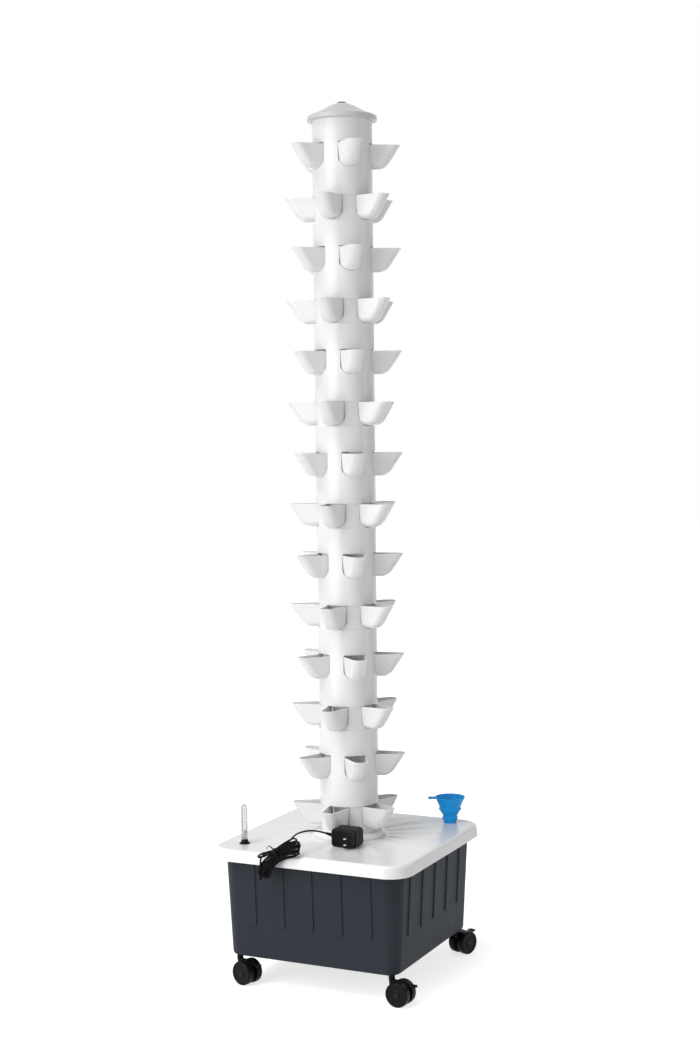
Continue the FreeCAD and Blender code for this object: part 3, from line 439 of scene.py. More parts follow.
def settled_dust():
    """A pale film on what faces up, broken into patches."""
    if "settled_dust" in bpy.data.node_groups:
        return bpy.data.node_groups["settled_dust"]
    tree, given, out = shader_group(
        "settled_dust",
        [
            ("Colour", "NodeSocketColor", (0.1, 0.1, 0.1, 1)),
            ("Dust Colour", "NodeSocketColor", (0.4, 0.38, 0.35, 1)),
            ("Amount", "NodeSocketFloat", 0.1),
        ],
        [("Colour", "NodeSocketColor"), ("Mask", "NodeSocketFloat")],
    )
    normal = add(tree, "ShaderNodeNewGeometry").outputs["Normal"]
    up = add(tree, "ShaderNodeSeparateXYZ", (0, normal)).outputs["Z"]
    up = add(tree, "ShaderNodeMapRange", ("Value", up), ("From Min", 0.15), ("From Max", 1.0)).outputs[0]
    patch = noise(tree, add(tree, "ShaderNodeTexCoord").outputs["Object"], 160.0, 4.0)
    patch = add(tree, "ShaderNodeMapRange", ("Value", patch), ("From Min", 0.4), ("From Max", 0.7)).outputs[0]
    mask = maths(tree, "MULTIPLY", maths(tree, "MULTIPLY", up, patch), given["Amount"])
    tree.links.new(blend(tree, mask, given["Colour"], given["Dust Colour"]), out["Colour"])
    tree.links.new(mask, out["Mask"])
    return tree


def finish(name, colour, rough, clouds=(14.0, 0.05), spread=0.08, grain=(1400.0, 0.02), dust=0.0, **plain):
    """A moulded finish; plain holds values for the shader's own sockets."""
    if name in bpy.data.materials:
        return bpy.data.materials[name]
    material = bpy.data.materials.new(name)
    material.use_nodes = True
    tree = material.node_tree
    shader = tree.nodes["Principled BSDF"]
    links = (
        ("Colour", (*colour, 1)), ("Cloud Scale", clouds[0]), ("Cloud Share", clouds[1]),
        ("Roughness", rough), ("Gloss Spread", spread), ("Grain Scale", grain[0]),
    )
    skin = add(tree, "ShaderNodeGroup", *links, node_tree=moulded_skin()).outputs
    shown = skin["Colour"]
    if dust:
        film = add(tree, "ShaderNodeGroup", ("Colour", shown), ("Amount", dust), node_tree=settled_dust())
        shown = film.outputs["Colour"]
    links = ("Strength", grain[1]), ("Distance", 0.0004), ("Height", skin["Height"])
    bump = add(tree, "ShaderNodeBump", *links)
    tree.links.new(shown, shader.inputs["Base Color"])
    tree.links.new(skin["Roughness"], shader.inputs["Roughness"])
    tree.links.new(bump.outputs["Normal"], shader.inputs["Normal"])
    for label, value in plain.items():
        shader.inputs[label.replace("_", " ")].default_value = value
    material.diffuse_color = (*colour, 1)
    return material


def tower_white():
    return finish(
        "tower white", bpy.context.scene.grow_tower.tower_colour, 0.24, (9.0, 0.04), 0.1, (900.0, 0.04),
        Subsurface_Weight=0.3, Subsurface_Radius=(1, 1, 1), Subsurface_Scale=0.004,
    )


# The cap's grey colour is painted shade: a darker copy of the tower's white plastic that stands in for the
# shade on the cap's dome
def painted_shade_cap_white():
    return finish("cap white with painted shade", bpy.context.scene.grow_tower.painted_shade_cap_colour, 0.3, (9.0, 0.04), 0.1, (900.0, 0.04))


def cup_white():
    return finish(
        "cup white", bpy.context.scene.grow_tower.cup_colour, 0.26, (18.0, 0.04), 0.1, (900.0, 0.04),
        Subsurface_Weight=0.3, Subsurface_Radius=(1, 1, 1), Subsurface_Scale=0.004,
    )


def lid_white():
    return finish("lid white", bpy.context.scene.grow_tank.lid_colour, 0.19, (7.0, 0.04), 0.12, (700.0, 0.03))


def tank_grey():
    colour = bpy.context.scene.grow_tank.tank_colour
    return finish("tank grey", colour, 0.55, (6.0, 0.16), 0.16, (620.0, 0.22), 0.04, Specular_IOR_Level=0.12)


def black_nylon():
    return finish(
        "black nylon", (0.0045, 0.0045, 0.005), 0.36, (40.0, 0.2), 0.2, (900.0, 0.2), 0.02,
        Specular_IOR_Level=0.1,
    )


def black_rubber():
    return finish(
        "black rubber", (0.006, 0.006, 0.0065), 0.5, (60.0, 0.2), 0.15, (1500.0, 0.25), 0.03,
        Specular_IOR_Level=0.1,
    )


def housing_black():
    return finish(
        "housing black", (0.005, 0.005, 0.0055), 0.38, (30.0, 0.15), 0.14, (1100.0, 0.4), 0.02,
        Specular_IOR_Level=0.1,
    )


def cable_black():
    return finish(
        "cable black", (0.0035, 0.0035, 0.004), 0.34, (50.0, 0.15), 0.2, (1800.0, 0.1), 0.01,
        Specular_IOR_Level=0.06,
    )


def axle_steel():
    return finish("axle steel", (0.03, 0.03, 0.032), 0.4, (80.0, 0.3), 0.2, (2600.0, 0.2), Metallic=1.0)


def plated_metal():
    return finish("plated metal", (0.72, 0.70, 0.66), 0.2, (90.0, 0.12), 0.16, (3000.0, 0.08), Metallic=1.0)


def pipe_white():
    return finish("pipe white", (0.78, 0.78, 0.76), 0.3, (20.0, 0.06), 0.1, (1200.0, 0.05))


def float_grey():
    return finish("float grey", (0.62, 0.62, 0.60), 0.5, (50.0, 0.12), 0.15, (2200.0, 0.3))


def funnel_blue():
    return finish(
        "funnel blue", bpy.context.scene.grow_tank.funnel_colour, 0.42, (35.0, 0.1), 0.1, (1500.0, 0.05),
        Subsurface_Weight=0.12, Subsurface_Scale=0.004, Specular_IOR_Level=0.25,
    )


def clear_tube():
    return finish(
        "clear tube", (0.76, 0.77, 0.78), 0.08, (30.0, 0.03), 0.05, (500.0, 0.02), Transmission_Weight=1.0,
        IOR=1.36,
    )


def scale_ink():
    return finish("scale ink", (0.03, 0.03, 0.035), 0.5, (200.0, 0.3), 0.1, (2500.0, 0.1))


# The stage; the camera's place and the softboxes' sizes are in metres


CAMERA_PLACE = (1.56267, -3.25965, 1.16627)
CAMERA_AHEAD = (-0.42951, 0.90092, -0.06219)
CAMERA_ROLL = -0.617
CAMERA_LENS = 59.455
SOFTBOX_HEIGHT = 3.2
SOFTBOX_MIDDLE = 1.15
FLOOR_RADIUS = 14000.0


def white_surround(tree, kind):
    """What share of a ray is the camera's, a reflection's or a clear piece's, and the white it looks at."""
    path = add(tree, "ShaderNodeLightPath").outputs
    seen = maths(tree, "MAXIMUM", path["Is Camera Ray"], path["Is Glossy Ray"])
    seen = maths(tree, "MAXIMUM", seen, path["Is Transmission Ray"])
    return seen, add(tree, kind, ("Color", (1, 1, 1, 1)), ("Strength", 1.0))


def make_camera():
    """The camera at the photograph's angle."""
    camera = bpy.data.objects.new("camera", bpy.data.cameras.new("camera"))
    bpy.context.scene.collection.objects.link(camera)
    camera.data.sensor_fit = "VERTICAL"
    camera.data.sensor_height = 36.0
    camera.data.lens = CAMERA_LENS
    camera.data.clip_start = 0.05
    camera.data.clip_end = 60.0
    forward = Vector(CAMERA_AHEAD).normalized()
    right = forward.cross(Vector((0, 0, 1))).normalized()
    rise = right.cross(forward)
    roll = math.radians(CAMERA_ROLL)
    axes = Matrix((
        right * math.cos(roll) + rise * math.sin(roll),
        rise * math.cos(roll) - right * math.sin(roll),
        -forward,
    ))
    camera.matrix_world = Matrix.Translation(CAMERA_PLACE) @ axes.transposed().to_4x4()
    bpy.context.scene.camera = camera


def make_lamp(name, kind, azimuth, elevation, strength):
    """A lamp that shines from an azimuth and an elevation, and the way to it."""
    lamp = bpy.data.objects.new(name, bpy.data.lights.new(name, kind))
    bpy.context.scene.collection.objects.link(lamp)
    lamp.data.energy = strength
    a, e = math.radians(azimuth), math.radians(elevation)
    towards = Vector((math.sin(a) * math.cos(e), -math.cos(a) * math.cos(e), math.sin(e)))
    lamp.rotation_mode = "QUATERNION"
    lamp.rotation_quaternion = towards.to_track_quat("Z", "Y")
    return lamp, towards


def make_lights(settings):
    """Soft light from above and the front, a tall softbox on the left and a narrow one on the right."""
    for name, azimuth, elevation, strength, spread in (
        ("top light", -28.0, 62.0, settings.top_strength, 40.0),
        ("front light", 40.0, 20.0, settings.front_strength, 60.0),
    ):
        lamp, _ = make_lamp(name, "SUN", azimuth, elevation, strength)
        lamp.data.angle = math.radians(spread)
    for name, azimuth, away, width, power in (
        ("left softbox", -21.0, 3.2, 2.1, settings.key_power),
        ("right strip", 111.0, 2.8, 0.35, settings.strip_power),
    ):
        lamp, towards = make_lamp(name, "AREA", azimuth, 0.0, power)
        lamp.data.shape = "RECTANGLE"
        lamp.data.size = width
        lamp.data.size_y = SOFTBOX_HEIGHT
        lamp.location = towards * away + Vector((0, 0, SOFTBOX_MIDDLE))
        lamp.visible_camera = False


def make_world(settings):
    """An even light from all sides that looks plain white."""
    world = bpy.data.worlds.new("studio")
    bpy.context.scene.world = world
    world.use_nodes = True
    tree = world.node_tree
    plain = tree.nodes["Background"]
    plain.inputs["Color"].default_value = (1.0, 1.0, 1.0, 1)
    plain.inputs["Strength"].default_value = settings.surround_strength
    seen, white = white_surround(tree, "ShaderNodeBackground")
    both = add(tree, "ShaderNodeMixShader", (0, seen), (1, plain.outputs[0]), (2, white.outputs[0]))
    tree.links.new(both.outputs[0], tree.nodes["World Output"].inputs["Surface"])


def make_floor(settings):
    """A wide pale floor that takes soft shadows and nearly vanishes in the white."""
    material = bpy.data.materials.new("studio floor")
    material.use_nodes = True
    tree = material.node_tree
    paint = tree.nodes["Principled BSDF"]
    grain = add(tree, "ShaderNodeTexNoise", ("Scale", 5.0))
    shade = add(tree, "ShaderNodeMapRange", ("Value", grain.outputs[0]), ("To Min", 0.78), ("To Max", 0.80))
    tree.links.new(shade.outputs[0], paint.inputs["Base Color"])
    paint.inputs["Roughness"].default_value = 0.8
    seen, white = white_surround(tree, "ShaderNodeEmission")
    tree.links.new(maths(tree, "MULTIPLY", seen, settings.floor_lift), white.inputs["Strength"])
    total = add(tree, "ShaderNodeAddShader", (0, paint.outputs[0]), (1, white.outputs[0]))
    tree.links.new(total.outputs[0], tree.nodes["Material Output"].inputs["Surface"])
    bm = lathed([(0.0, 0.0), (2000.0, 0.0), (FLOOR_RADIUS, 0.0)], 96, closed=False)
    floor = bpy.data.objects.new("floor", finished_mesh("floor", bm, material))
    bpy.context.scene.collection.objects.link(floor)


def make_stage(settings):
    """The camera, the studio's light and the floor."""
    bpy.context.scene.view_settings.view_transform = "Standard"
    make_camera()
    make_lights(settings)
    make_world(settings)
    make_floor(settings)


# The supply cable


CABLE_RADIUS = 1.8
# From the adapter's end to the hank, in metres
CABLE_ROUTE = (
    (-0.002, -0.1085, 0.313), (-0.015, -0.1097, 0.3155), (-0.029, -0.1130, 0.3170),
    (-0.0405, -0.1215, 0.3170), (-0.0465, -0.135, 0.3165), (-0.0475, -0.151, 0.3165),
    (-0.0450, -0.168, 0.3162), (-0.0420, -0.184, 0.3150), (-0.0420, -0.198, 0.3120),
    (-0.0475, -0.212, 0.3070),
)
PLUG_BASE = (-87.5, -235.0, 268.0)
# Stations along the hank: its middle, the way across it, the inner half width, the gap between turns side by
# side, the step from one row to the next, and how much of its own tilt a turn has there
HANK_STATIONS = (
    ((-25.5, -217.0, 303.0), (-0.50, 0.86, 0.0), 8.4, 1.4, (0.0, 3.0, 9.8), 1.0),
    ((-35.5, -220.5, 300.5), (-0.50, 0.86, 0.0), 6.6, 1.8, (0.0, 2.2, 9.0), 0.8),
    ((-46.5, -225.5, 294.5), (-0.51, 0.86, 0.0), 4.2, 2.4, (-0.8, 1.2, 8.4), 0.5),
    ((-57.0, -229.5, 286.5), (-0.55, 0.83, 0.0), 2.6, 3.0, (-4.4, 0.8, 5.9), 0.2),
    ((-66.5, -232.6, 276.5), (-0.80, 0.50, 0.15), 4.0, 2.4, (-5.4, 1.2, 3.0), 0.2),
    ((-76.0, -233.8, 266.0), (-0.94, 0.20, 0.2), 5.8, 1.4, (-6.4, 2.0, 0.8), 0.3),
    ((-80.0, -234.2, 255.5), (-0.98, 0.05, 0.2), 6.4, 1.2, (-6.8, 2.4, 0.0), 0.3),
)
STUB_STATIONS = HANK_STATIONS[:4] + (
    ((-69.5, -232.0, 288.0), (-0.45, 0.88, 0.0), 4.6, 1.6, (-1.5, 0.8, 3.4), 0.3),
    ((-78.5, -233.4, 285.5), (-0.35, 0.92, 0.0), 6.4, 1.0, (-1.0, 0.6, 2.6), 0.5),
)
# The turns from the first to the last, as (row from the bottom, place from the inside, own tilt, how far the
# fold nearer the tower reaches back)
HANK_TURNS = (
    (3.1, 1.2, 24, -4.0), (2.8, 1.6, 22, -1.0), (2.5, 0.8, 14, 3.0), (2.15, 1.4, 8, 6.0), (1.7, 0.6, -2, 8.5),
    (1.35, 0.2, 6, 8.5), (1.0, 1.2, 18, 5.0), (0.65, 1.8, 14, 7.0), (0.3, 1.0, 4, 5.5), (-0.05, 0.6, -4, 3.0),
)
HANK_MIDDLE_ROW = 1.5
# A fold's corners, as shares of its half width across the hank and past its end
FOLD = ((1.0, 0.41), (0.41, 1.0), (-0.41, 1.0), (-1.0, 0.41))
# How low the cable's middle line lies on the lid, how far back on the skirt, and how far forward
LID_REST = 291.6
SKIRT_REST = -222.4
HANK_FRONT = -243.9


def hank_point(stations, index, side, turn, past=0.0):
    """Where one turn of the hank runs at a station, or past it at a fold, as a share of its half width."""
    level, place, tilt, reach = HANK_TURNS[turn]
    middle, across, inner, step, rows, loose = stations[index]
    before = Vector(stations[max(index - 1, 0)][0])
    after = Vector(stations[min(index + 1, len(stations) - 1)][0])
    ahead = (after - before).normalized()
    across = Vector(across)
    across = (across - ahead * across.dot(ahead)).normalized()
    lift = across.cross(ahead)
    half = inner + step * place
    lean = math.radians(tilt * loose)
    # The folds at the far end stick out unevenly, and those at the near end by each turn's own reach
    further = 2.4 + 2.2 * math.sin(turn * 1.7) if past > 0 else -reach if past < 0 else 0.0
    spot = Vector(middle) + (across * math.cos(lean) + lift * math.sin(lean)) * half * side
    spot += Vector(rows) * (level - HANK_MIDDLE_ROW) + lift * loose * math.sin(turn * 2.4 + index * 1.3)
    spot += ahead * (half * past + further)
    if spot.z < LID_REST and spot.y > SKIRT_REST:
        if spot.y > SKIRT_REST + 4.0:
            spot.z = LID_REST
        else:
            spot.y = SKIRT_REST
    spot.y = max(spot.y, HANK_FRONT)
    return spot


def hank_points():
    """The cord's points round all turns of the hank, in millimetres."""
    points = []
    last = len(HANK_TURNS) - 1
    for turn in range(len(HANK_TURNS)):
        # The upper turns fold back at the skirt's top, and the first one starts at the waist
        stations = STUB_STATIONS if HANK_TURNS[turn][0] > 2.5 else HANK_STATIONS
        end = len(stations) - 1
        start = 3 if turn == 0 else 0
        points += [hank_point(stations, index, 1, turn) for index in range(start, end + 1)]
        points += [hank_point(stations, end, side, turn, past) for side, past in FOLD]
        points += [hank_point(stations, index, -1, turn) for index in range(end, -1, -1)]
        for side, past in FOLD:
            points.append(hank_point(stations, 0, -side, turn if side > 0 else min(turn + 1, last), -past))
    points += [hank_point(HANK_STATIONS, index, 1, last) for index in range(3)]
    points += [Vector(p) for p in ((-62.0, -227.0, 298.5), (-75.0, -232.5, 295.0), (-84.5, -235.0, 286.0))]
    points += [Vector((PLUG_BASE[0], PLUG_BASE[1], PLUG_BASE[2] + rise)) for rise in (8.0, 0.0)]
    return points


def cord_curve(name, points, radius, material):
    """A round cord on one smooth open spline through metres."""
    curve = bpy.data.curves.new(name, "CURVE")
    curve.dimensions = "3D"
    curve.bevel_depth = radius
    curve.bevel_resolution = 3
    curve.resolution_u = 6
    curve.use_fill_caps = True
    spline = curve.splines.new("NURBS")
    spline.points.add(len(points) - 1)
    for target, point in zip(spline.points, points):
        target.co = (*point, 1.0)
    spline.order_u = 3
    spline.use_endpoint_u = True
    curve.materials.append(material)
    thing = bpy.data.objects.new(name, curve)
    bpy.context.scene.collection.objects.link(thing)
    return thing


def aimed(bm, start, ahead):
    """Turns what was drawn up the Z axis so that it points ahead from a start."""
    spin = Vector((0, 0, 1)).rotation_difference(Vector(ahead)).to_matrix().to_4x4()
    bmesh.ops.transform(bm, matrix=Matrix.Translation(start) @ spin, verts=bm.verts[:])


def make_strain_relief():
    """A tapered sleeve with grooves, from the adapter's end to the cable."""
    exit_point = Vector(CABLE_ROUTE[0]) / MM
    ahead = (Vector(CABLE_ROUTE[1]) / MM - exit_point).normalized()
    length = 20.0
    profile = [(0.0, 0.0), (4.5, 0.0)]
    for index in range(6):
        z = 4.2 + index * 2.5
        r = 4.4 - 0.3 * index
        profile += [(r, z - 0.9), (r, z), (r - 0.9, z + 0.35), (r - 0.9, z + 1.15), (r - 0.12, z + 1.5)]
    profile += [(2.6, length - 0.4), (2.3, length), (0.0, length)]
    bm = lathed(profile, 28, closed=False)
    aimed(bm, exit_point - ahead * length, ahead)
    return dress("strain_relief_sleeve", bm, black_rubber(), "tank", ["strain_relief"], 50)


def make_plug():
    """The round low-voltage plug: a ribbed grip and a hollow metal barrel."""
    x, y, z = PLUG_BASE
    grip = [(0.0, z), (2.6, z), (3.4, z - 1.2), (3.6, z - 5.0), (4.6, z - 6.5)]
    for index in range(5):
        base = z - 7.6 - index * 1.9
        grip += [(5.0, base), (5.0, base - 0.9), (4.5, base - 1.1), (4.5, base - 1.6)]
    grip += [(4.9, z - 18.0), (4.9, z - 19.4), (4.4, z - 20.0), (0.0, z - 20.0)]
    bm = lathed(grip, 28, (x, y), closed=False)
    count = len(bm.faces)
    barrel = [(1.05, z - 19.9), (2.75, z - 19.9), (2.75, z - 29.0), (2.5, z - 29.5)]
    barrel += [(1.25, z - 29.5), (1.05, z - 29.2)]
    lathe(bm, barrel, 28, (x, y))
    bm.faces.ensure_lookup_table()
    for face in bm.faces[count:]:
        face.material_index = 1
    finishes = [cable_black(), plated_metal()]
    return dress("low_voltage_plug", bm, finishes, "tank", ["cable_plug"])


def make_tie():
    """A wire tie: a band round the hank's waist and its twisted end."""
    before, after = HANK_STATIONS[2], HANK_STATIONS[3]
    inner, step = (before[2] + after[2]) / 2, (before[3] + after[3]) / 2
    gap = ((Vector(before[4]) + Vector(after[4])) / 2).length
    middle = (Vector(before[0]) + Vector(after[0])) / 2
    ahead = (Vector(after[0]) - Vector(before[0])).normalized()
    across = Vector(before[1]) + Vector(after[1])
    across = (across - ahead * across.dot(ahead)).normalized()
    lift = across.cross(ahead)
    wide, high = inner + step * 2 + 2.9, gap * 1.5 + 2.7
    bm = bmesh.new()
    rows = []
    for along, grow in ((-1.9, 0.0), (-1.6, 0.7), (0.0, 1.0), (1.6, 0.7), (1.9, 0.0), (0.0, -0.2)):
        points = []
        for index in range(36):
            c, s = math.cos(math.tau * index / 36), math.sin(math.tau * index / 36)
            flat = (abs(c) ** 3 + abs(s) ** 3) ** (-1 / 3)
            side = across * (wide + grow) * c * flat + lift * (high + grow) * s * flat
            points.append(middle + ahead * along + side)
        rows.append(row(bm, points))
    loft(bm, rows, ring=True)
    for side in (0.0, math.pi):
        rows = []
        for index in range(15):
            t = index / 14
            spot = middle + lift * (high + 0.4 + 11.0 * math.sin(t * 2.3))
            spot += across * (3.0 - 2.0 * t) + ahead * (1.0 + 9.0 * t * t)
            spin = index * 0.9 + side
            spot += (across * math.cos(spin) + ahead * math.sin(spin)) * 0.75
            turns = [math.tau * k / 6 for k in range(6)]
            rows.append(row(bm, [spot + (across * math.cos(a) + ahead * math.sin(a)) * 0.8 for a in turns]))
        loft(bm, rows, capped=True)
    return dress("wire_tie", bm, black_rubber(), "tank", ["hank_tie"], 60)


def make_cable():
    """The adapter's cable, folded into a hank over the lid's edge, with what goes on it."""
    relief, plug, tie = make_strain_relief(), make_plug(), make_tie()
    points = [Vector(p) for p in CABLE_ROUTE] + [p * MM for p in hank_points()]
    cable = cord_curve("supply_cable", points, CABLE_RADIUS * MM, cable_black())
    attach(cable, "tank")
    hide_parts("adapter_cable", "cable_hank")


# The tower


def cup_half(depth):
    """Half the cup's width across its section at a depth below the rim."""
    share = max((depth - CUP_BOWL) / CUP_BOWL_DEPTH, 0.0)
    return (CUP_ROOT_HALF + 1.5) * math.sqrt(max(1 - share ** 2, 0.0))


def cup_tip(depth):
    """How far the nose reaches at a depth below the rim."""
    share = max((depth - CUP_KEEL) / CUP_KEEL_DEPTH, 0.0)
    turned_under = CUP_KEEL_REACH * (1 - math.sqrt(max(1 - share ** 2, 0.0)))
    return CUP_TIP - CUP_LEAN / CUP_DEPTH * depth - turned_under


def cup_rows(bm, wall):
    """Rows of corners of the scoop's surface, set in by the wall, from the rim to the underside."""
    rows = []
    for depth in (0, 2, 9, 17, 24, 29, 33, 36.5, 39.6, 42.3, 44.5, 46.2, 47.3, 48):
        across = cup_half(depth)
        tip = cup_tip(depth) - wall * 1.15
        nose = tip - CUP_NOSE_LENGTH + wall * 0.3
        half = []
        for index in range(6):
            x = CUP_ROOT + (nose - CUP_ROOT) * index / 6
            half.append((x, min(CUP_NOSE_HALF + 0.15 * (nose - x), CUP_ROOT_HALF)))
        for index in range(9):
            turn = math.pi / 2 * index / 8
            x = nose + (tip - nose) * math.sin(turn) ** 0.92
            half.append((x, CUP_NOSE_HALF * math.cos(turn) ** 0.92))
        outline = []
        for x, y in half:
            # The lesser of the two half widths, eased where they meet
            y_eased = -math.log(math.exp(-1.1 * (y - wall)) + math.exp(-1.1 * (across - wall))) / 1.1
            outline.append((x, max(y_eased, 0.0) if y > 1e-3 else 0.0))
        z = -depth * (CUP_DEPTH - wall) / CUP_DEPTH
        points = [(x, y, z) for x, y in outline] + [(x, -y, z) for x, y in reversed(outline[:-1])]
        rows.append(row(bm, points))
    return rows


def draw_cup(bm, turn, wall):
    """One open scoop, turned to its place round the tower; gives the corners of its rim."""
    start = len(bm.verts)
    outer, inner = cup_rows(bm, 0.0), cup_rows(bm, wall)
    for rows in (outer, inner):
        loft(bm, rows, around=False)
        last = rows[-1]
        for index in range(len(last) // 2):
            corners = [last[index], last[index + 1], last[-2 - index], last[-1 - index]]
            kept = list(dict.fromkeys(corners))
            if len(kept) > 2:
                bm.faces.new(kept)
    join_rows(bm, outer[0], inner[0], closed=False)
    edge = [r[0] for r in outer] + [r[-1] for r in reversed(outer)]
    inside = [r[0] for r in inner] + [r[-1] for r in reversed(inner)]
    join_rows(bm, edge, inside, closed=False)
    turned(bm, turn, start)
    return outer[0] + inner[0]


def cup_turns(level):
    """The azimuths of a level's cups; odd levels sit half a space further round."""
    shift = CUP_SPACING / 2 if level % 2 else 0.0
    return [TOWER_TURN + shift + CUP_SPACING * index - 90 for index in range(CUPS_PER_LEVEL)]


def rim_height(level):
    """The height of a level's cup rims; levels are counted from the top."""
    return BASE_RIM + (2 * MODULES - level) * LEVEL_PITCH


def make_cups(settings):
    """Five clip-in cups on each level; odd levels share one mesh and even levels another."""
    meshes = {}
    for odd in (1, 0):
        bm = bmesh.new()
        rims = []
        for turn in cup_turns(odd):
            rims += draw_cup(bm, turn, settings.cup_wall / MM)
        bmesh.ops.recalc_face_normals(bm, faces=bm.faces)
        rim_set = set(rims)
        edges = [
            e for e in bm.edges
            if e.verts[0] in rim_set and e.verts[1] in rim_set and e.calc_face_angle(0) > 0.6
        ]
        bevelled(bm, edges, 0.5)
        meshes[odd] = finished_mesh("cups", bm, cup_white(), 44)
    for level in range(1, 2 * MODULES + 1):
        name = "planting_cups_%02d" % level
        piece(name, meshes[level % 2], "tank", ["cups_level_%02d" % level], rim_height(level))


def window_cutter(head, round_top, turn, height):
    """A plug of the shape of a cup's window, with a gap all round."""
    outline = []
    for depth in (0, 10, 20, 25.3, 30, 34.5, 38.3, 41.5, 44.2, 46.2, 47.5, 48.1):
        outline.append((min(cup_half(depth), WINDOW_HALF), -depth - 0.3 * depth / CUP_DEPTH))
    if round_top:
        corners = [math.radians(v) for v in (90, 70, 50, 30, 12)]
        arch = [(WINDOW_HALF - head * (1 - math.cos(a)), head * math.sin(a)) for a in corners]
        outline = arch + outline
    else:
        outline[0] = (WINDOW_HALF, head)
    outline += [(-y, z) for y, z in reversed(outline)]
    bm = bmesh.new()
    slab(bm, outline, 45.0, 75.0, lambda u, v, w: (w, u, v + height))
    turned(bm, turn)
    return bm


def make_modules(settings):
    """Seven two-level modules that share one mesh, with a window behind each cup."""
    profile = eased(
        [
            (NECK_BORE, NECK_BASE), (NECK_RADIUS, NECK_BASE), (NECK_RADIUS, BODY_BASE, 0.3),
            (BODY_RADIUS, BODY_BASE), (BODY_RADIUS, BODY_TOP), (SOCKET_RADIUS, BODY_TOP),
            (SOCKET_RADIUS, SOCKET_FLOOR, 0.3), (NECK_BORE, SOCKET_FLOOR),
        ],
        settings.edge_round / MM, 3,
    )
    bm = lathed(profile, 120)
    cutters = [window_cutter(3.0, True, turn, LEVEL_PITCH) for turn in cup_turns(1)]
    cutters += [window_cutter(0.5, False, turn, 0.0) for turn in cup_turns(0)]
    bm = carved(bm, cutters)
    for face in bm.faces:
        face.smooth = True

    def at_window(edge):
        outside = min(math.hypot(v.co.x, v.co.y) for v in edge.verts) > NECK_RADIUS - 0.2
        ends = [v.co.z for v in edge.verts]
        at_step = all(abs(z - BODY_BASE) < 1.2 for z in ends)
        return outside and NECK_BASE + 9 < min(ends) and max(ends) < SOCKET_FLOOR - 11 and not at_step

    soften(bm, 0.45, 50, at_window)
    mesh = finished_mesh("planter_module", bm, tower_white(), 36)
    for index in range(MODULES):
        name = "planter_module_%d" % (index + 1)
        piece(name, mesh, "tank", ["planter_modules"], rim_height(2 * index + 2))


def make_cap():
    """The top cap with its lip and low dome, and the rubber vent plug."""
    top = CAP_BASE
    profile = [
        (NECK_BORE, TOWER_TOP - 10.0), (NECK_RADIUS, TOWER_TOP - 10.0), (NECK_RADIUS, TOWER_TOP, 0.3),
        (BODY_RADIUS + 0.3, TOWER_TOP, 0.3), (BODY_RADIUS + 0.3, top), (CAP_RADIUS - 1.0, top),
        (CAP_RADIUS, top + 1.2), (CAP_RADIUS, top + 8.6, 1.2), (CAP_RADIUS - 2.0, top + 10.6, 1.5),
        (47.0, top + 20.0, 6.0), (30.0, top + 29.5, 6.0), (12.0, top + 37.0, 3.0), (9.5, top + 37.5, 1.0),
        (4.0, top + 37.5), (4.0, top + 35.1), (12.0, top + 34.4, 3.0), (29.0, top + 27.0, 5.0),
        (46.0, top + 17.6, 5.0), (NECK_BORE, top + 12.0, 3.0),
    ]
    bm = lathed(eased(profile, 0.7, 4), 112)
    # The cap's finish is a darker white, painted shade for the dome
    dress("tower_cap", bm, painted_shade_cap_white(), "cap", ["top_cap"], 40)
    profile = [
        (0.0, top + 32.2), (3.9, top + 32.2), (3.9, top + 37.5), (9.2, top + 37.5, 0.6),
        (9.2, top + 38.7, 0.7), (7.6, top + 39.9, 1.0), (0.0, top + 40.0),
    ]
    bm = lathed(eased(profile, 0.3, 3, closed=False), 40, closed=False)
    dress("vent_bung", bm, black_rubber(), "cap", ["vent_plug"], 50)


def make_collar():
    """The collar that holds the lowest module on the lid."""
    profile = [
        (SOCKET_RADIUS, LID_TOP), (COLLAR_RADIUS, LID_TOP), (COLLAR_RADIUS, LID_TOP + 5.0),
        (COLLAR_RADIUS - 5.0, LID_TOP + 10.6), (SOCKET_RADIUS, LID_TOP + 11.0),
    ]
    bm = lathed(eased(profile, 1.4, 4), 112)
    dress("base_collar", bm, lid_white(), "tank", ["tower_collar"], 40)


# The tank and its lid


def square_outline(half, corner, stations=()):
    """The outline of a rounded square; stations lists (place, how far proud) along each side."""
    points = []
    inner = half - corner
    for quarter in range(4):
        spin = Matrix.Rotation(math.radians(90 * quarter), 2)
        for along, proud in [(-inner, 0.0), *stations, (inner, 0.0)]:
            points.append(spin @ Vector((along, -half - proud)))
        for step in range(1, 10):
            turn = math.radians(-90 + 9 * step)
            points.append(spin @ Vector((inner + corner * math.cos(turn), -inner + corner * math.sin(turn))))
    return [(p.x, p.y) for p in points]


def square_row(bm, height, half, corner, stations=()):
    """A row of corners round a rounded square at a height."""
    return row(bm, [(x, y, height) for x, y in square_outline(half, corner, stations)])


def rib_stations(half_width, proud, ramp):
    """Where the ribs' shoulders lie along a wall."""
    shoulder = [
        (half_width + ramp, 0.0), (half_width + ramp * 0.55, proud * 0.25), (half_width, proud * 0.9),
        (half_width - ramp * 0.45, proud),
    ]
    stations = []
    for index in range(TANK_RIBS):
        middle = (index - (TANK_RIBS - 1) / 2) * TANK_RIB_PITCH
        for side, points in ((-1, shoulder), (1, shoulder[::-1])):
            # A rib as narrow as a line still keeps its corners apart
            stations += [(middle + side * max(s, 0.05 + 0.02 * k), p) for k, (s, p) in enumerate(points)]
    return stations


def tank_wall(height):
    """Half the tank's width and its corners' radius at a height."""
    widening = TANK_FLARE * (height - TANK_BASE) / (TANK_TOP - TANK_BASE)
    return TANK_FOOT_HALF + widening, TANK_FOOT_CORNER + widening


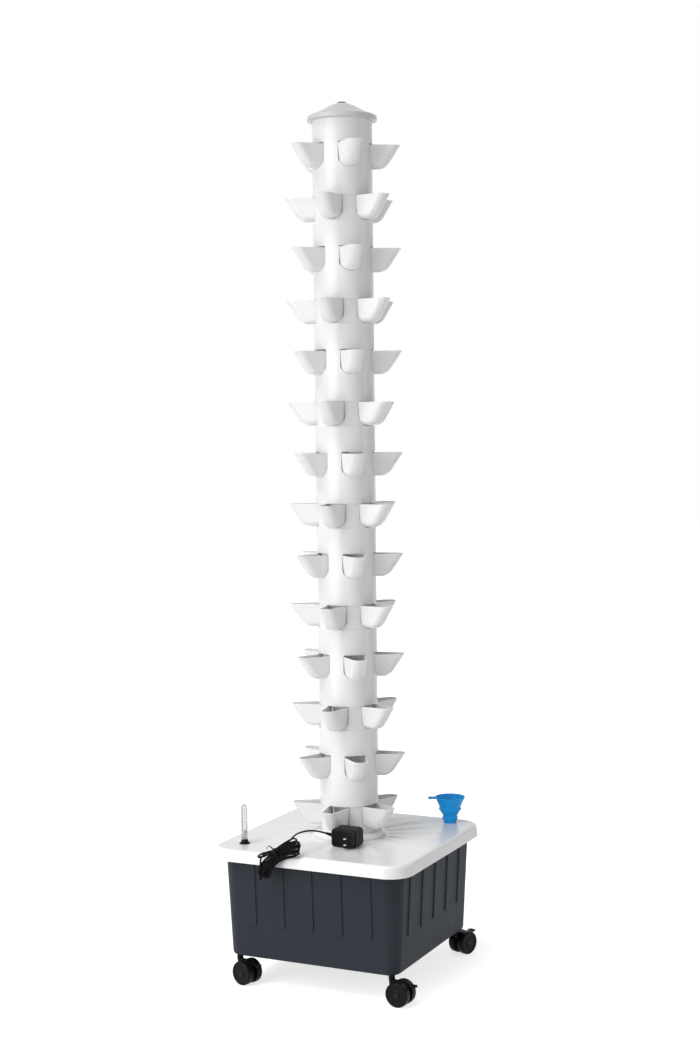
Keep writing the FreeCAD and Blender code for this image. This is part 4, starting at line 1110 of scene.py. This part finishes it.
def make_tank(settings):
    """The tapering tank with raised ribs on each side."""
    bm = bmesh.new()
    rows = []

    def level(height, inset=0.0, half_width=4.0, proud=0.0, ramp=0.6):
        half, corner = tank_wall(height)
        stations = rib_stations(half_width, proud, ramp)
        rows.append(square_row(bm, height, half - inset, max(corner - inset, 4.0), stations))

    for rise, inset in ((0.0, 5.0), (0.3, 3.2), (1.2, 1.7), (2.8, 0.6), (5.0, 0.0), (35.0, 0.0), (60.0, 0.0)):
        level(TANK_BASE + rise, inset)
    foot, round_foot = TANK_BASE + 68.0, 9.0
    rib, ramp = settings.rib_proud / MM, settings.rib_ramp / MM
    level(foot - 0.4, 0.0, 1.5)
    for rise in (0.0, 0.5, 1.2, 2.2, 3.6, 5.4, 7.4, 9.0):
        bend = math.sqrt(max(round_foot ** 2 - (round_foot - rise) ** 2, 0.0))
        share = min(1.0, (rise + 0.4) / 2.6)
        half_width = TANK_RIB_HALF - round_foot + bend + 0.3
        level(foot + rise, 0.0, half_width, rib * share * (2 - share), max(ramp * bend / round_foot, 0.3))
    for height in (160.0, 200.0, 240.0, 262.0, TANK_TOP - 5.0):
        level(height, 0.0, TANK_RIB_HALF, rib, ramp)
    flat = rib_stations(TANK_RIB_HALF, 0.0, ramp)
    for height, half, corner in (
        (TANK_TOP - 4.0, TANK_RIM_HALF, TANK_RIM_CORNER), (TANK_TOP, TANK_RIM_HALF, TANK_RIM_CORNER),
        (TANK_TOP, 198.0, 35.0), (TANK_BASE + 4.0, 186.2, 23.2), (TANK_BASE + 3.0, 183.0, 20.0),
    ):
        rows.append(square_row(bm, height, half, corner, flat))
    loft(bm, rows, capped=True)
    seats = []
    below, through, seat = TANK_BASE - 5.0, TANK_BASE + 15.0, BUSH_FLANGE + 0.05
    for x, y, _ in CASTERS.values():
        profile = [
            (0.0, below), (seat, below), (seat, BUSH_FLANGE_TOP), (BUSH_HOLE, BUSH_FLANGE_TOP),
            (BUSH_HOLE, through), (0.0, through),
        ]
        seats.append(lathed(profile, 32, (x, y), closed=False))
    bm = carved(bm, seats)
    boss_base = BUSH_FLANGE_TOP + 0.2
    for x, y, _ in CASTERS.values():
        profile = [(BUSH_HOLE, boss_base), (11.0, boss_base), (11.0, BUSH_TOP), (BUSH_HOLE, BUSH_TOP)]
        lathe(bm, eased(profile, 0.4, 2), 32, (x, y))
    dress("nutrient_tank", bm, tank_grey(), "tank", ["tank_shell"], 60)
    make_bushes()


def make_bushes():
    """The bushes pressed into the tank's floor, which the casters' stems turn in."""
    bm = bmesh.new()
    for x, y, _ in CASTERS.values():
        profile = [
            (BUSH_BORE, TANK_BASE), (BUSH_FLANGE, TANK_BASE), (BUSH_FLANGE, BUSH_FLANGE_TOP),
            (BUSH_RADIUS, BUSH_FLANGE_TOP), (BUSH_RADIUS, BUSH_TOP), (BUSH_BORE, BUSH_TOP),
        ]
        lathe(bm, eased(profile, 0.3, 2), 32, (x, y))
    dress("stem_bushes", bm, black_nylon(), "tank", ["caster_bushes"], 50)


def draw_lid_rib(bm, turn, settings):
    """One low radial rib with a rounded back, narrow at the tower and wider outward."""
    start = len(bm.verts)
    proud, base = settings.lid_rib_proud / MM, LID_TOP - 1.0
    rows = []
    for radius, share in (
        (82.0, 0.0), (86.0, 0.75), (92.0, 1.0), (130.0, 1.0), (168.0, 0.9), (182.0, 0.45), (192.0, 0.0),
    ):
        half = radius * settings.lid_rib_spread
        section = [(-half, base)]
        for place in (-1, -0.8, -0.55, -0.3, 0, 0.3, 0.55, 0.8, 1):
            section.append((half * place, LID_TOP + 0.02 + proud * share * (1 - place * place)))
        section.append((half, base))
        rows.append(row(bm, [(radius, y, z) for y, z in section]))
    loft(bm, rows, capped=True)
    turned(bm, turn, start)


def make_lid(settings):
    """The lid: a drafted skirt, a rounded edge, four holes and radial ribs."""
    bm = bmesh.new()
    flat_inside = LID_HALF - 24.0
    levels = [
        (LID_BASE, LID_HALF - 0.6), (LID_BASE + 0.6, LID_HALF), (272.0, LID_HALF - 1.1),
        (LID_TOP - LID_EDGE, LID_HALF - 2.1),
    ]
    for step in range(1, 9):
        turn = math.pi / 2 * step / 8
        half = LID_HALF - 2.2 - LID_EDGE * (1 - math.cos(turn))
        levels.append((LID_TOP - LID_EDGE + LID_EDGE * math.sin(turn), half))
    levels += [
        (LID_TOP, flat_inside), (TANK_TOP, flat_inside), (TANK_TOP, LID_HALF - 7.0),
        (TANK_TOP - 1.6, LID_HALF - 5.6), (LID_BASE, LID_HALF - 3.0),
    ]
    rows = [square_row(bm, height, half, LID_CORNER - (LID_HALF - half) * 0.95) for height, half in levels]
    # The panel's flat top and underside close the rows, which run from one to the other round the skirt
    panel = len(levels) - 5
    loft(bm, rows[panel + 1:] + rows[:panel + 1])
    bm.faces.new(rows[panel])
    bm.faces.new(rows[panel + 1])
    bmesh.ops.remove_doubles(bm, verts=bm.verts[:], dist=0.001)
    cutters = []
    for place, radius in (((0, 0), NECK_BORE), (GAUGE_PLACE, 9.9), (FUNNEL_PLACE, 11.9), (PORT_PLACE, 6.0)):
        profile = [(0.0, 250.0), (radius, 250.0), (radius, 300.0), (0.0, 300.0)]
        cutters.append(lathed(profile, 40, place, closed=False))
    bm = carved(bm, cutters)
    for index in range(LID_RIBS):
        draw_lid_rib(bm, 360 * (index + 0.5) / LID_RIBS, settings)
    dress("lid_panel", bm, lid_white(), "tank", ["tank_lid"], 44)


# Casters


def draw_wheel(bm, side):
    """One wheel: a crowned tread, a raised rim, a dished cover and a hub."""
    bore = AXLE_BORE + 0.1
    outline = [
        (bore, WHEEL_NEAR), (WHEEL_RADIUS - 1.0, WHEEL_NEAR, 1.2), (WHEEL_RADIUS, WHEEL_NEAR + 1.4, 1.2),
        (WHEEL_RADIUS, WHEEL_FAR - 2.5, 2.0), (WHEEL_RADIUS - 2.0, WHEEL_FAR, 1.6), (21.0, WHEEL_FAR, 0.5),
        (20.2, 19.2, 0.6), (9.6, 18.9, 0.8), (8.6, 20.3, 0.8), (bore, WHEEL_FAR, 0.3),
    ]
    profile = [(r, y * side) for r, y in eased(outline, 0.3, 4)]
    lathe_across(bm, profile, 56, (WHEEL_TRAIL, WHEEL_RADIUS), closed=True)


def draw_wheels(bm):
    """A caster's two wheels."""
    for side in (1, -1):
        draw_wheel(bm, side)


def draw_yoke(bm):
    """Stem, collar, and the web with its hub between the wheels."""
    half, collar = FORK_HALF, STEM_RADIUS + 1.5
    stem = [(0, 46.0), (STEM_RADIUS, 46.0), (STEM_RADIUS, STEM_TOP), (0, STEM_TOP)]
    lathe(bm, eased(stem, 0.8, 3, False), 36, closed=False)
    ring = [(0, 48.0), (collar, 48.0), (collar, TANK_BASE - 0.3), (0, TANK_BASE - 0.3)]
    lathe(bm, eased(ring, 0.7, 3, False), 40, closed=False)
    outline = [
        (-4.2, 50.0), (collar, 50.0), (27.0, 47.7), (30.2, 43.0), (28.5, 26.0), (WHEEL_TRAIL, 16.5),
        (11.5, 25.0), (-4.2, 40.0),
    ]
    web = bmesh.new()
    slab(web, eased(outline, 3.0, 4), -half, half, standing)
    slot = bmesh.new()
    slab(slot, rectangle(23.4, -2.6, 60.0, 2.6), 39.4, 70.0)
    bore = bmesh.new()
    profile = [(0.0, -8.0), (AXLE_BORE, -8.0), (AXLE_BORE, 8.0), (0.0, 8.0)]
    lathe_across(bore, profile, 32, (WHEEL_TRAIL, WHEEL_RADIUS))
    web = carved(web, [slot, bore])
    soften(web, 0.6, 40)
    take_in(bm, web)
    lathe_across(bm, [(0.0, -half), (1.6, -half), (1.6, half), (0.0, half)], 20, PEDAL_PIN)


def draw_brake(bm):
    """The pedal: an eye on the pin, a narrow arm and a wide ridged tab."""
    low, high = PEDAL_PIN[1] - PEDAL_HALF, PEDAL_PIN[1] + PEDAL_HALF
    turns = [math.radians(v) for v in range(40, 321, 20)]
    outline = [(PEDAL_PIN[0] + 3.2 * math.cos(a), PEDAL_PIN[1] + 3.2 * math.sin(a)) for a in turns]
    slab(bm, outline + [(44.0, low), (44.0, high)], -2.2, 2.2, standing)
    tab = eased([(43.4, -7.5, 0.8), (56.0, -7.5, 4.0), (56.0, 7.5, 4.0), (43.4, 7.5, 0.8)], 1.0, 5)
    slab(bm, tab, low, high)
    soften(bm, 0.6, 40)
    for x in (46.6, 49.2, 51.8):
        slab(bm, eased(rectangle(x - 0.55, -5.4, x + 0.55, 5.4), 0.5, 2), high - 0.4, high + 0.4)


def make_casters():
    """Four twin-wheel casters, each turned to its resting place."""
    parts = (
        ("yoke", draw_yoke, "swivel", "black_plastic"),
        ("wheels", draw_wheels, "wheels", "wheel_black"),
        ("brake", draw_brake, "brake", "black_plastic"),
    )
    for corner, (x, y, turn) in CASTERS.items():
        for part, draw, body, slot in parts:
            bm = bmesh.new()
            draw(bm)
            turned(bm, turn)
            bmesh.ops.translate(bm, vec=(x, y, 0), verts=bm.verts[:])
            node = "caster_%s_%s" % (part, corner)
            dress("dressed_" + node, bm, black_nylon(), "%s_%s" % (body, corner), [node], 44)
        repaint(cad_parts["caster_axle_" + corner], axle_steel())


# Fittings on the lid


def draw_mark(bm, low, high, half_turn, outer):
    """One raised mark on the left side of the gauge's tube."""
    corners = []
    inner = GAUGE_RADIUS + 0.02
    for radius, turn in ((inner, -half_turn), (inner, half_turn), (outer, half_turn), (outer, -half_turn)):
        a = math.radians(180 + turn)
        corners.append((GAUGE_PLACE[0] + radius * math.cos(a), GAUGE_PLACE[1] + radius * math.sin(a)))
    slab(bm, corners, low, high)


def make_gauge():
    """The water gauge: grommet, clear tube and scale; the float's rod shows inside."""
    top, foot, crown, seat = LID_TOP, LID_TOP - 5.0, LID_TOP + GAUGE_HEIGHT, GAUGE_RADIUS + 0.05
    profile = [
        (1.6, top - 7.0), (9.8, top - 7.0), (9.8, top, 0.2), (11.0, top, 0.4), (11.0, top + 1.9, 0.8),
        (7.8, top + 2.4, 0.4), (7.5, top + 5.5, 1.0), (7.1, top + 8.0, 0.8), (seat, top + 8.0, 0.2),
        (seat, foot, 0.2), (1.6, foot),
    ]
    bm = lathed(eased(profile, 0.3, 4), 48, GAUGE_PLACE)
    dress("gauge_seal", bm, black_rubber(), "tank", ["gauge_grommet"], 50)
    profile = [
        (GAUGE_BORE, foot), (GAUGE_RADIUS, foot), (GAUGE_RADIUS, crown - 2.2, 1.8), (5.0, crown, 1.4),
        (0.0, crown), (0.0, crown - 1.4), (4.4, crown - 1.4, 0.8), (GAUGE_BORE, crown - 2.6, 0.8),
    ]
    bm = lathed([p for p in eased(profile, 0.2, 4) if p[0] >= 0.0], 48, GAUGE_PLACE)
    bmesh.ops.remove_doubles(bm, verts=bm.verts[:], dist=0.001)
    dress("gauge_glass", bm, clear_tube(), "tank", ["gauge_tube"], 50)
    bm = bmesh.new()
    draw_mark(bm, top + 10.0, top + 76.0, 12.0, 7.0)
    for index in range(GAUGE_MARKS):
        z = top + 11.0 + index * GAUGE_MARK_PITCH
        if index % 2:
            draw_mark(bm, z, z + 0.8, 13.5, 7.2)
        else:
            draw_mark(bm, z - 0.4, z + 1.4, 15.5, 7.4)
    dress("gauge_marks", bm, scale_ink(), "tank", ["gauge_scale"], 30)
    repaint(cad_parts["gauge_float"], float_grey())


def draw_funnel_tab(rim):
    """The tab at the funnel's rim, with its eye."""
    tab = bmesh.new()
    outline = eased([(31.0, -6.5, 0.2), (47.7, -6.5, 6.3), (47.7, 6.5, 6.3), (31.0, 6.5, 0.2)], 1.0, 7)
    slab(tab, outline, rim - 3.9, rim - 0.4)
    eye = [(0.0, rim - 9.0), (2.5, rim - 9.0), (2.5, rim + 9.0), (0.0, rim + 9.0)]
    tab = carved(tab, [lathed(eye, 28, (41.2, 0.0), closed=False)])
    soften(tab, 0.5, 50)
    return tab


def make_funnel():
    """The folding funnel: soft tiers that step outwards, and a hanging tab with an eye."""
    height, wall = FUNNEL_HEIGHT, FUNNEL_WALL
    tiers = [
        (13.4, 0.0, 0.8), (13.4, 3.0, 2.0), (17.2, 10.0, 1.2), (15.4, 15.5, 0.6), (18.0, 20.5, 2.2),
        (24.8, 29.5, 1.2), (22.8, 34.5, 0.6), (32.7, height, 0.5),
    ]
    outside = [(r, LID_TOP + h, ease) for r, h, ease in tiers]
    inside = [(r - wall, LID_TOP + h + (wall if h < height else 0.0), ease) for r, h, ease in tiers[1:]]
    profile = [(9.9, LID_TOP - 16.0, 0.3), (11.5, LID_TOP - 16.0, 0.3), (11.5, LID_TOP, 0.3)]
    profile += outside + inside[::-1] + [(9.9, LID_TOP + 5.6, 0.6)]
    bm = lathed(eased(profile, 0.4, 5), 72)
    take_in(bm, draw_funnel_tab(LID_TOP + height))
    turned(bm, FUNNEL_TURN)
    bmesh.ops.translate(bm, vec=(*FUNNEL_PLACE, 0), verts=bm.verts[:])
    dress("filling_funnel", bm, funnel_blue(), "funnel", ["fill_funnel"], 50)


def draw_housing(bm, left, outer, seam):
    """One half of the adapter, drawn from the side with its outer face rounded over."""
    right, base, top = ADAPTER_RIGHT, ADAPTER_BASE, ADAPTER_BASE + ADAPTER_HEIGHT
    outline = eased([(left, base, 7.0), (right, base, 8.0), (right, top, 9.5), (left, top, 9.5)], 5.0, 8)
    middle = Vector(((left + right) / 2, base + ADAPTER_HEIGHT / 2))
    depth = abs(seam - outer)
    inward = 1 if seam > outer else -1
    rows = []
    for along, inset in (
        (0.0, 3.8), (0.45, 2.4), (1.4, 1.1), (2.8, 0.35), (4.6, 0.0), (depth - 0.6, 0.0), (depth, 0.55),
    ):
        scale = Vector((1 - inset / (right - left) * 2, 1 - inset / ADAPTER_HEIGHT * 2))
        points = [middle + (Vector(p) - middle) * scale for p in outline]
        rows.append(row(bm, [(p.x, outer + along * inward, p.y) for p in points]))
    loft(bm, rows, capped=True)


def draw_pin_block():
    """The block the blades stand in, with their slots."""
    block = bmesh.new()
    outline = eased([(44.0, 291.5), (68.0, 291.5), (68.0, 325.0), (44.0, 325.0)], 6.0, 7)
    slab(block, outline, BLADE_ROOT - 4.0, ADAPTER_FRONT + 5.0, standing)
    cuts = []
    for z in BLADE_HEIGHTS:
        half = BLADE_HALF + 0.2
        outline = rectangle(BLADE_MIDDLE - half, z - 1.0, BLADE_MIDDLE + half, z + 1.0)
        cuts.append(bmesh.new())
        slab(cuts[-1], outline, BLADE_ROOT - 7.0, BLADE_ROOT, standing)
    block = carved(block, cuts)
    soften(block, 0.7, 40)
    return block


def draw_blade(z):
    """One flat blade with an eye near its rounded end."""
    left, right, root, tip = BLADE_MIDDLE - BLADE_HALF, BLADE_MIDDLE + BLADE_HALF, BLADE_ROOT, BLADE_TIP
    outline = eased([(left, root, 0.1), (left, tip, 2.0), (right, tip, 2.0), (right, root, 0.1)], 0.1, 4)
    blade = bmesh.new()
    slab(blade, outline, z - 0.8, z + 0.8)
    eye = [(0.0, z - 3), (1.5, z - 3), (1.5, z + 3), (0.0, z + 3)]
    blade = carved(blade, [lathed(eye, 20, (BLADE_MIDDLE, tip + 4.0), closed=False)])
    soften(blade, 0.25, 50)
    return blade


def make_adapter():
    """The mains adapter: two shells that meet in a groove, the pin block and its blades."""
    bm = bmesh.new()
    draw_housing(bm, ADAPTER_LEFT + 2.0, ADAPTER_BACK, ADAPTER_SEAM)
    dress("adapter_back", bm, housing_black(), "tank", ["adapter_rear_shell"], 50)
    bm = bmesh.new()
    draw_housing(bm, ADAPTER_LEFT, ADAPTER_FRONT, ADAPTER_SEAM)
    take_in(bm, draw_pin_block())
    dress("adapter_face", bm, housing_black(), "tank", ["adapter_front_shell"], 50)
    bm = bmesh.new()
    for z in BLADE_HEIGHTS:
        take_in(bm, draw_blade(z))
    dress("adapter_blades", bm, plated_metal(), "tank", ["adapter_pins"], 50)


def make_water_path():
    """The pump, its pipe and the drip plate keep their CAD shapes and get their finishes."""
    for name, material in (
        ("pump_body", housing_black), ("pump_strainer", black_nylon), ("pump_coupling", black_rubber),
        ("riser_pipe", pipe_white), ("drip_plate", tower_white),
    ):
        repaint(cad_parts[name], material())


# Settings, operators and the panel


class GrowTowerSettings(bpy.types.PropertyGroup):
    """Sizes and colours of the tower."""

    tower_colour: FloatVectorProperty(
        name="Tower colour", description="Colour of the modules", subtype="COLOR", default=(0.84, 0.85, 0.86),
        min=0, max=1,
    )
    # The default grey is painted shade: the cap is the tower's white plastic, darkened for the shade on its
    # dome
    painted_shade_cap_colour: FloatVectorProperty(
        name="Cap colour", description="Colour of the top cap, darkened as painted shade", subtype="COLOR", default=(0.61, 0.61, 0.6),
        min=0, max=1,
    )
    cup_colour: FloatVectorProperty(
        name="Cup colour", description="Colour of the planting cups", subtype="COLOR",
        default=(0.85, 0.855, 0.86), min=0, max=1,
    )
    cup_wall: FloatProperty(
        name="Cup wall", description="Thickness of a cup's wall", default=0.0018, min=0.001, max=0.004,
        unit="LENGTH",
    )
    edge_round: FloatProperty(
        name="Edge rounding", description="Rounding of the modules' ends", default=0.0007, min=0, max=0.001,
        unit="LENGTH",
    )


class GrowTankSettings(bpy.types.PropertyGroup):
    """Sizes and colours of the tank and what stands on it."""

    tank_colour: FloatVectorProperty(
        name="Tank colour", description="Colour of the tank", subtype="COLOR", default=(0.028, 0.034, 0.043),
        min=0, max=1,
    )
    lid_colour: FloatVectorProperty(
        name="Lid colour", description="Colour of the lid and the collar", subtype="COLOR",
        default=(0.87, 0.875, 0.88), min=0, max=1,
    )
    funnel_colour: FloatVectorProperty(
        name="Funnel colour", description="Colour of the filling funnel", subtype="COLOR",
        default=(0.008, 0.39, 0.92), min=0, max=1,
    )
    rib_proud: FloatProperty(
        name="Rib height", description="How far the tank's ribs stand out", default=0.0025, min=0.0005,
        max=0.0025, unit="LENGTH",
    )
    rib_ramp: FloatProperty(
        name="Rib slope", description="Width of the ribs' sloping sides", default=0.0008, min=0.0005,
        max=0.004, unit="LENGTH",
    )
    lid_rib_proud: FloatProperty(
        name="Lid rib height", description="How far the lid's ribs stand out", default=0.0015, min=0.0005,
        max=0.0015, unit="LENGTH",
    )
    lid_rib_spread: FloatProperty(
        name="Lid rib spread", description="Half width of the lid's ribs as a share of the radius",
        default=0.105, min=0.02, max=0.14,
    )


class GrowCableSettings(bpy.types.PropertyGroup):
    """The supply cable's real size."""

    cable_length: FloatProperty(
        name="Cable length", description="Real length of the supply cable", default=2.4, min=0.5, max=5.0,
        unit="LENGTH",
    )


class GrowStageSettings(bpy.types.PropertyGroup):
    """The studio's light."""

    key_power: FloatProperty(
        name="Left softbox", description="Power of the tall light on the left", default=64.0, min=0, max=500,
    )
    strip_power: FloatProperty(
        name="Right strip", description="Power of the narrow light on the right", default=8.0, min=0, max=500,
    )
    top_strength: FloatProperty(
        name="Top light", description="Strength of the light from above", default=1.45, min=0, max=10,
    )
    front_strength: FloatProperty(
        name="Front light", description="Strength of the light from the front", default=0.1, min=0, max=10,
    )
    surround_strength: FloatProperty(
        name="Surround", description="Light from all sides", default=0.24, min=0, max=2,
    )
    floor_lift: FloatProperty(
        name="Floor lift", description="How much whiter the floor looks", default=0.7, min=0, max=1,
    )


class GROW_OT_stage(bpy.types.Operator):
    """Sets up the camera, the lights and the floor"""

    bl_idname = "grow.stage"
    bl_label = "Stage"

    def execute(self, context):
        make_stage(context.scene.grow_stage)
        return {"FINISHED"}


class GROW_OT_cable(bpy.types.Operator):
    """Adds the supply cable with its hank, tie, strain relief and plug"""

    bl_idname = "grow.cable"
    bl_label = "Supply Cable"

    def execute(self, context):
        make_cable()
        return {"FINISHED"}


class GROW_OT_modules(bpy.types.Operator):
    """Adds the seven planter modules"""

    bl_idname = "grow.modules"
    bl_label = "Planter Modules"

    def execute(self, context):
        make_modules(context.scene.grow_tower)
        return {"FINISHED"}


class GROW_OT_cups(bpy.types.Operator):
    """Adds the planting cups of all levels"""

    bl_idname = "grow.cups"
    bl_label = "Planting Cups"

    def execute(self, context):
        make_cups(context.scene.grow_tower)
        return {"FINISHED"}


class GROW_OT_cap(bpy.types.Operator):
    """Adds the top cap and its vent plug"""

    bl_idname = "grow.cap"
    bl_label = "Top Cap"

    def execute(self, context):
        make_cap()
        return {"FINISHED"}


class GROW_OT_collar(bpy.types.Operator):
    """Adds the collar at the tower's foot"""

    bl_idname = "grow.collar"
    bl_label = "Collar"

    def execute(self, context):
        make_collar()
        return {"FINISHED"}


class GROW_OT_tank(bpy.types.Operator):
    """Adds the ribbed tank and its stem bushes"""

    bl_idname = "grow.tank"
    bl_label = "Tank"

    def execute(self, context):
        make_tank(context.scene.grow_tank)
        return {"FINISHED"}


class GROW_OT_lid(bpy.types.Operator):
    """Adds the lid with its radial ribs"""

    bl_idname = "grow.lid"
    bl_label = "Lid"

    def execute(self, context):
        make_lid(context.scene.grow_tank)
        return {"FINISHED"}


class GROW_OT_casters(bpy.types.Operator):
    """Adds the four swivel casters"""

    bl_idname = "grow.casters"
    bl_label = "Casters"

    def execute(self, context):
        make_casters()
        return {"FINISHED"}


class GROW_OT_gauge(bpy.types.Operator):
    """Adds the water gauge"""

    bl_idname = "grow.gauge"
    bl_label = "Water Gauge"

    def execute(self, context):
        make_gauge()
        return {"FINISHED"}


class GROW_OT_funnel(bpy.types.Operator):
    """Adds the folding filling funnel"""

    bl_idname = "grow.funnel"
    bl_label = "Filling Funnel"

    def execute(self, context):
        make_funnel()
        return {"FINISHED"}


class GROW_OT_adapter(bpy.types.Operator):
    """Adds the mains adapter"""

    bl_idname = "grow.adapter"
    bl_label = "Mains Adapter"

    def execute(self, context):
        make_adapter()
        return {"FINISHED"}


class GROW_OT_water_path(bpy.types.Operator):
    """Finishes the pump, its pipe and the drip plate"""

    bl_idname = "grow.water_path"
    bl_label = "Water Path"

    def execute(self, context):
        make_water_path()
        return {"FINISHED"}


OPERATORS = (
    GROW_OT_stage, GROW_OT_cable, GROW_OT_modules, GROW_OT_cups, GROW_OT_cap, GROW_OT_collar, GROW_OT_tank,
    GROW_OT_lid, GROW_OT_casters, GROW_OT_gauge, GROW_OT_funnel, GROW_OT_adapter, GROW_OT_water_path,
)
SETTINGS = {
    "grow_tower": GrowTowerSettings,
    "grow_tank": GrowTankSettings,
    "grow_cable": GrowCableSettings,
    "grow_stage": GrowStageSettings,
}


class GROW_PT_panel(bpy.types.Panel):
    """Lists the tower's pieces and their settings"""

    bl_idname = "GROW_PT_panel"
    bl_label = "Growing Tower"
    bl_space_type = "VIEW_3D"
    bl_region_type = "UI"
    bl_category = "Growing Tower"

    def draw(self, context):
        for group in SETTINGS:
            settings = getattr(context.scene, group)
            box = self.layout.box()
            for key in settings.bl_rna.properties.keys():
                if key not in ("rna_type", "name"):
                    box.prop(settings, key)
        for operator in OPERATORS:
            self.layout.operator(operator.bl_idname)


CLASSES = (*SETTINGS.values(), *OPERATORS, GROW_PT_panel)


def register():
    for each in CLASSES:
        bpy.utils.register_class(each)
    for group, kind in SETTINGS.items():
        setattr(bpy.types.Scene, group, PointerProperty(type=kind))


def unregister():
    for group in SETTINGS:
        delattr(bpy.types.Scene, group)
    for each in reversed(CLASSES):
        bpy.utils.unregister_class(each)


def main():
    register()
    for operator in OPERATORS:
        getattr(bpy.ops.grow, operator.bl_idname.split(".")[1])()


if __name__ == "__main__":
    main()
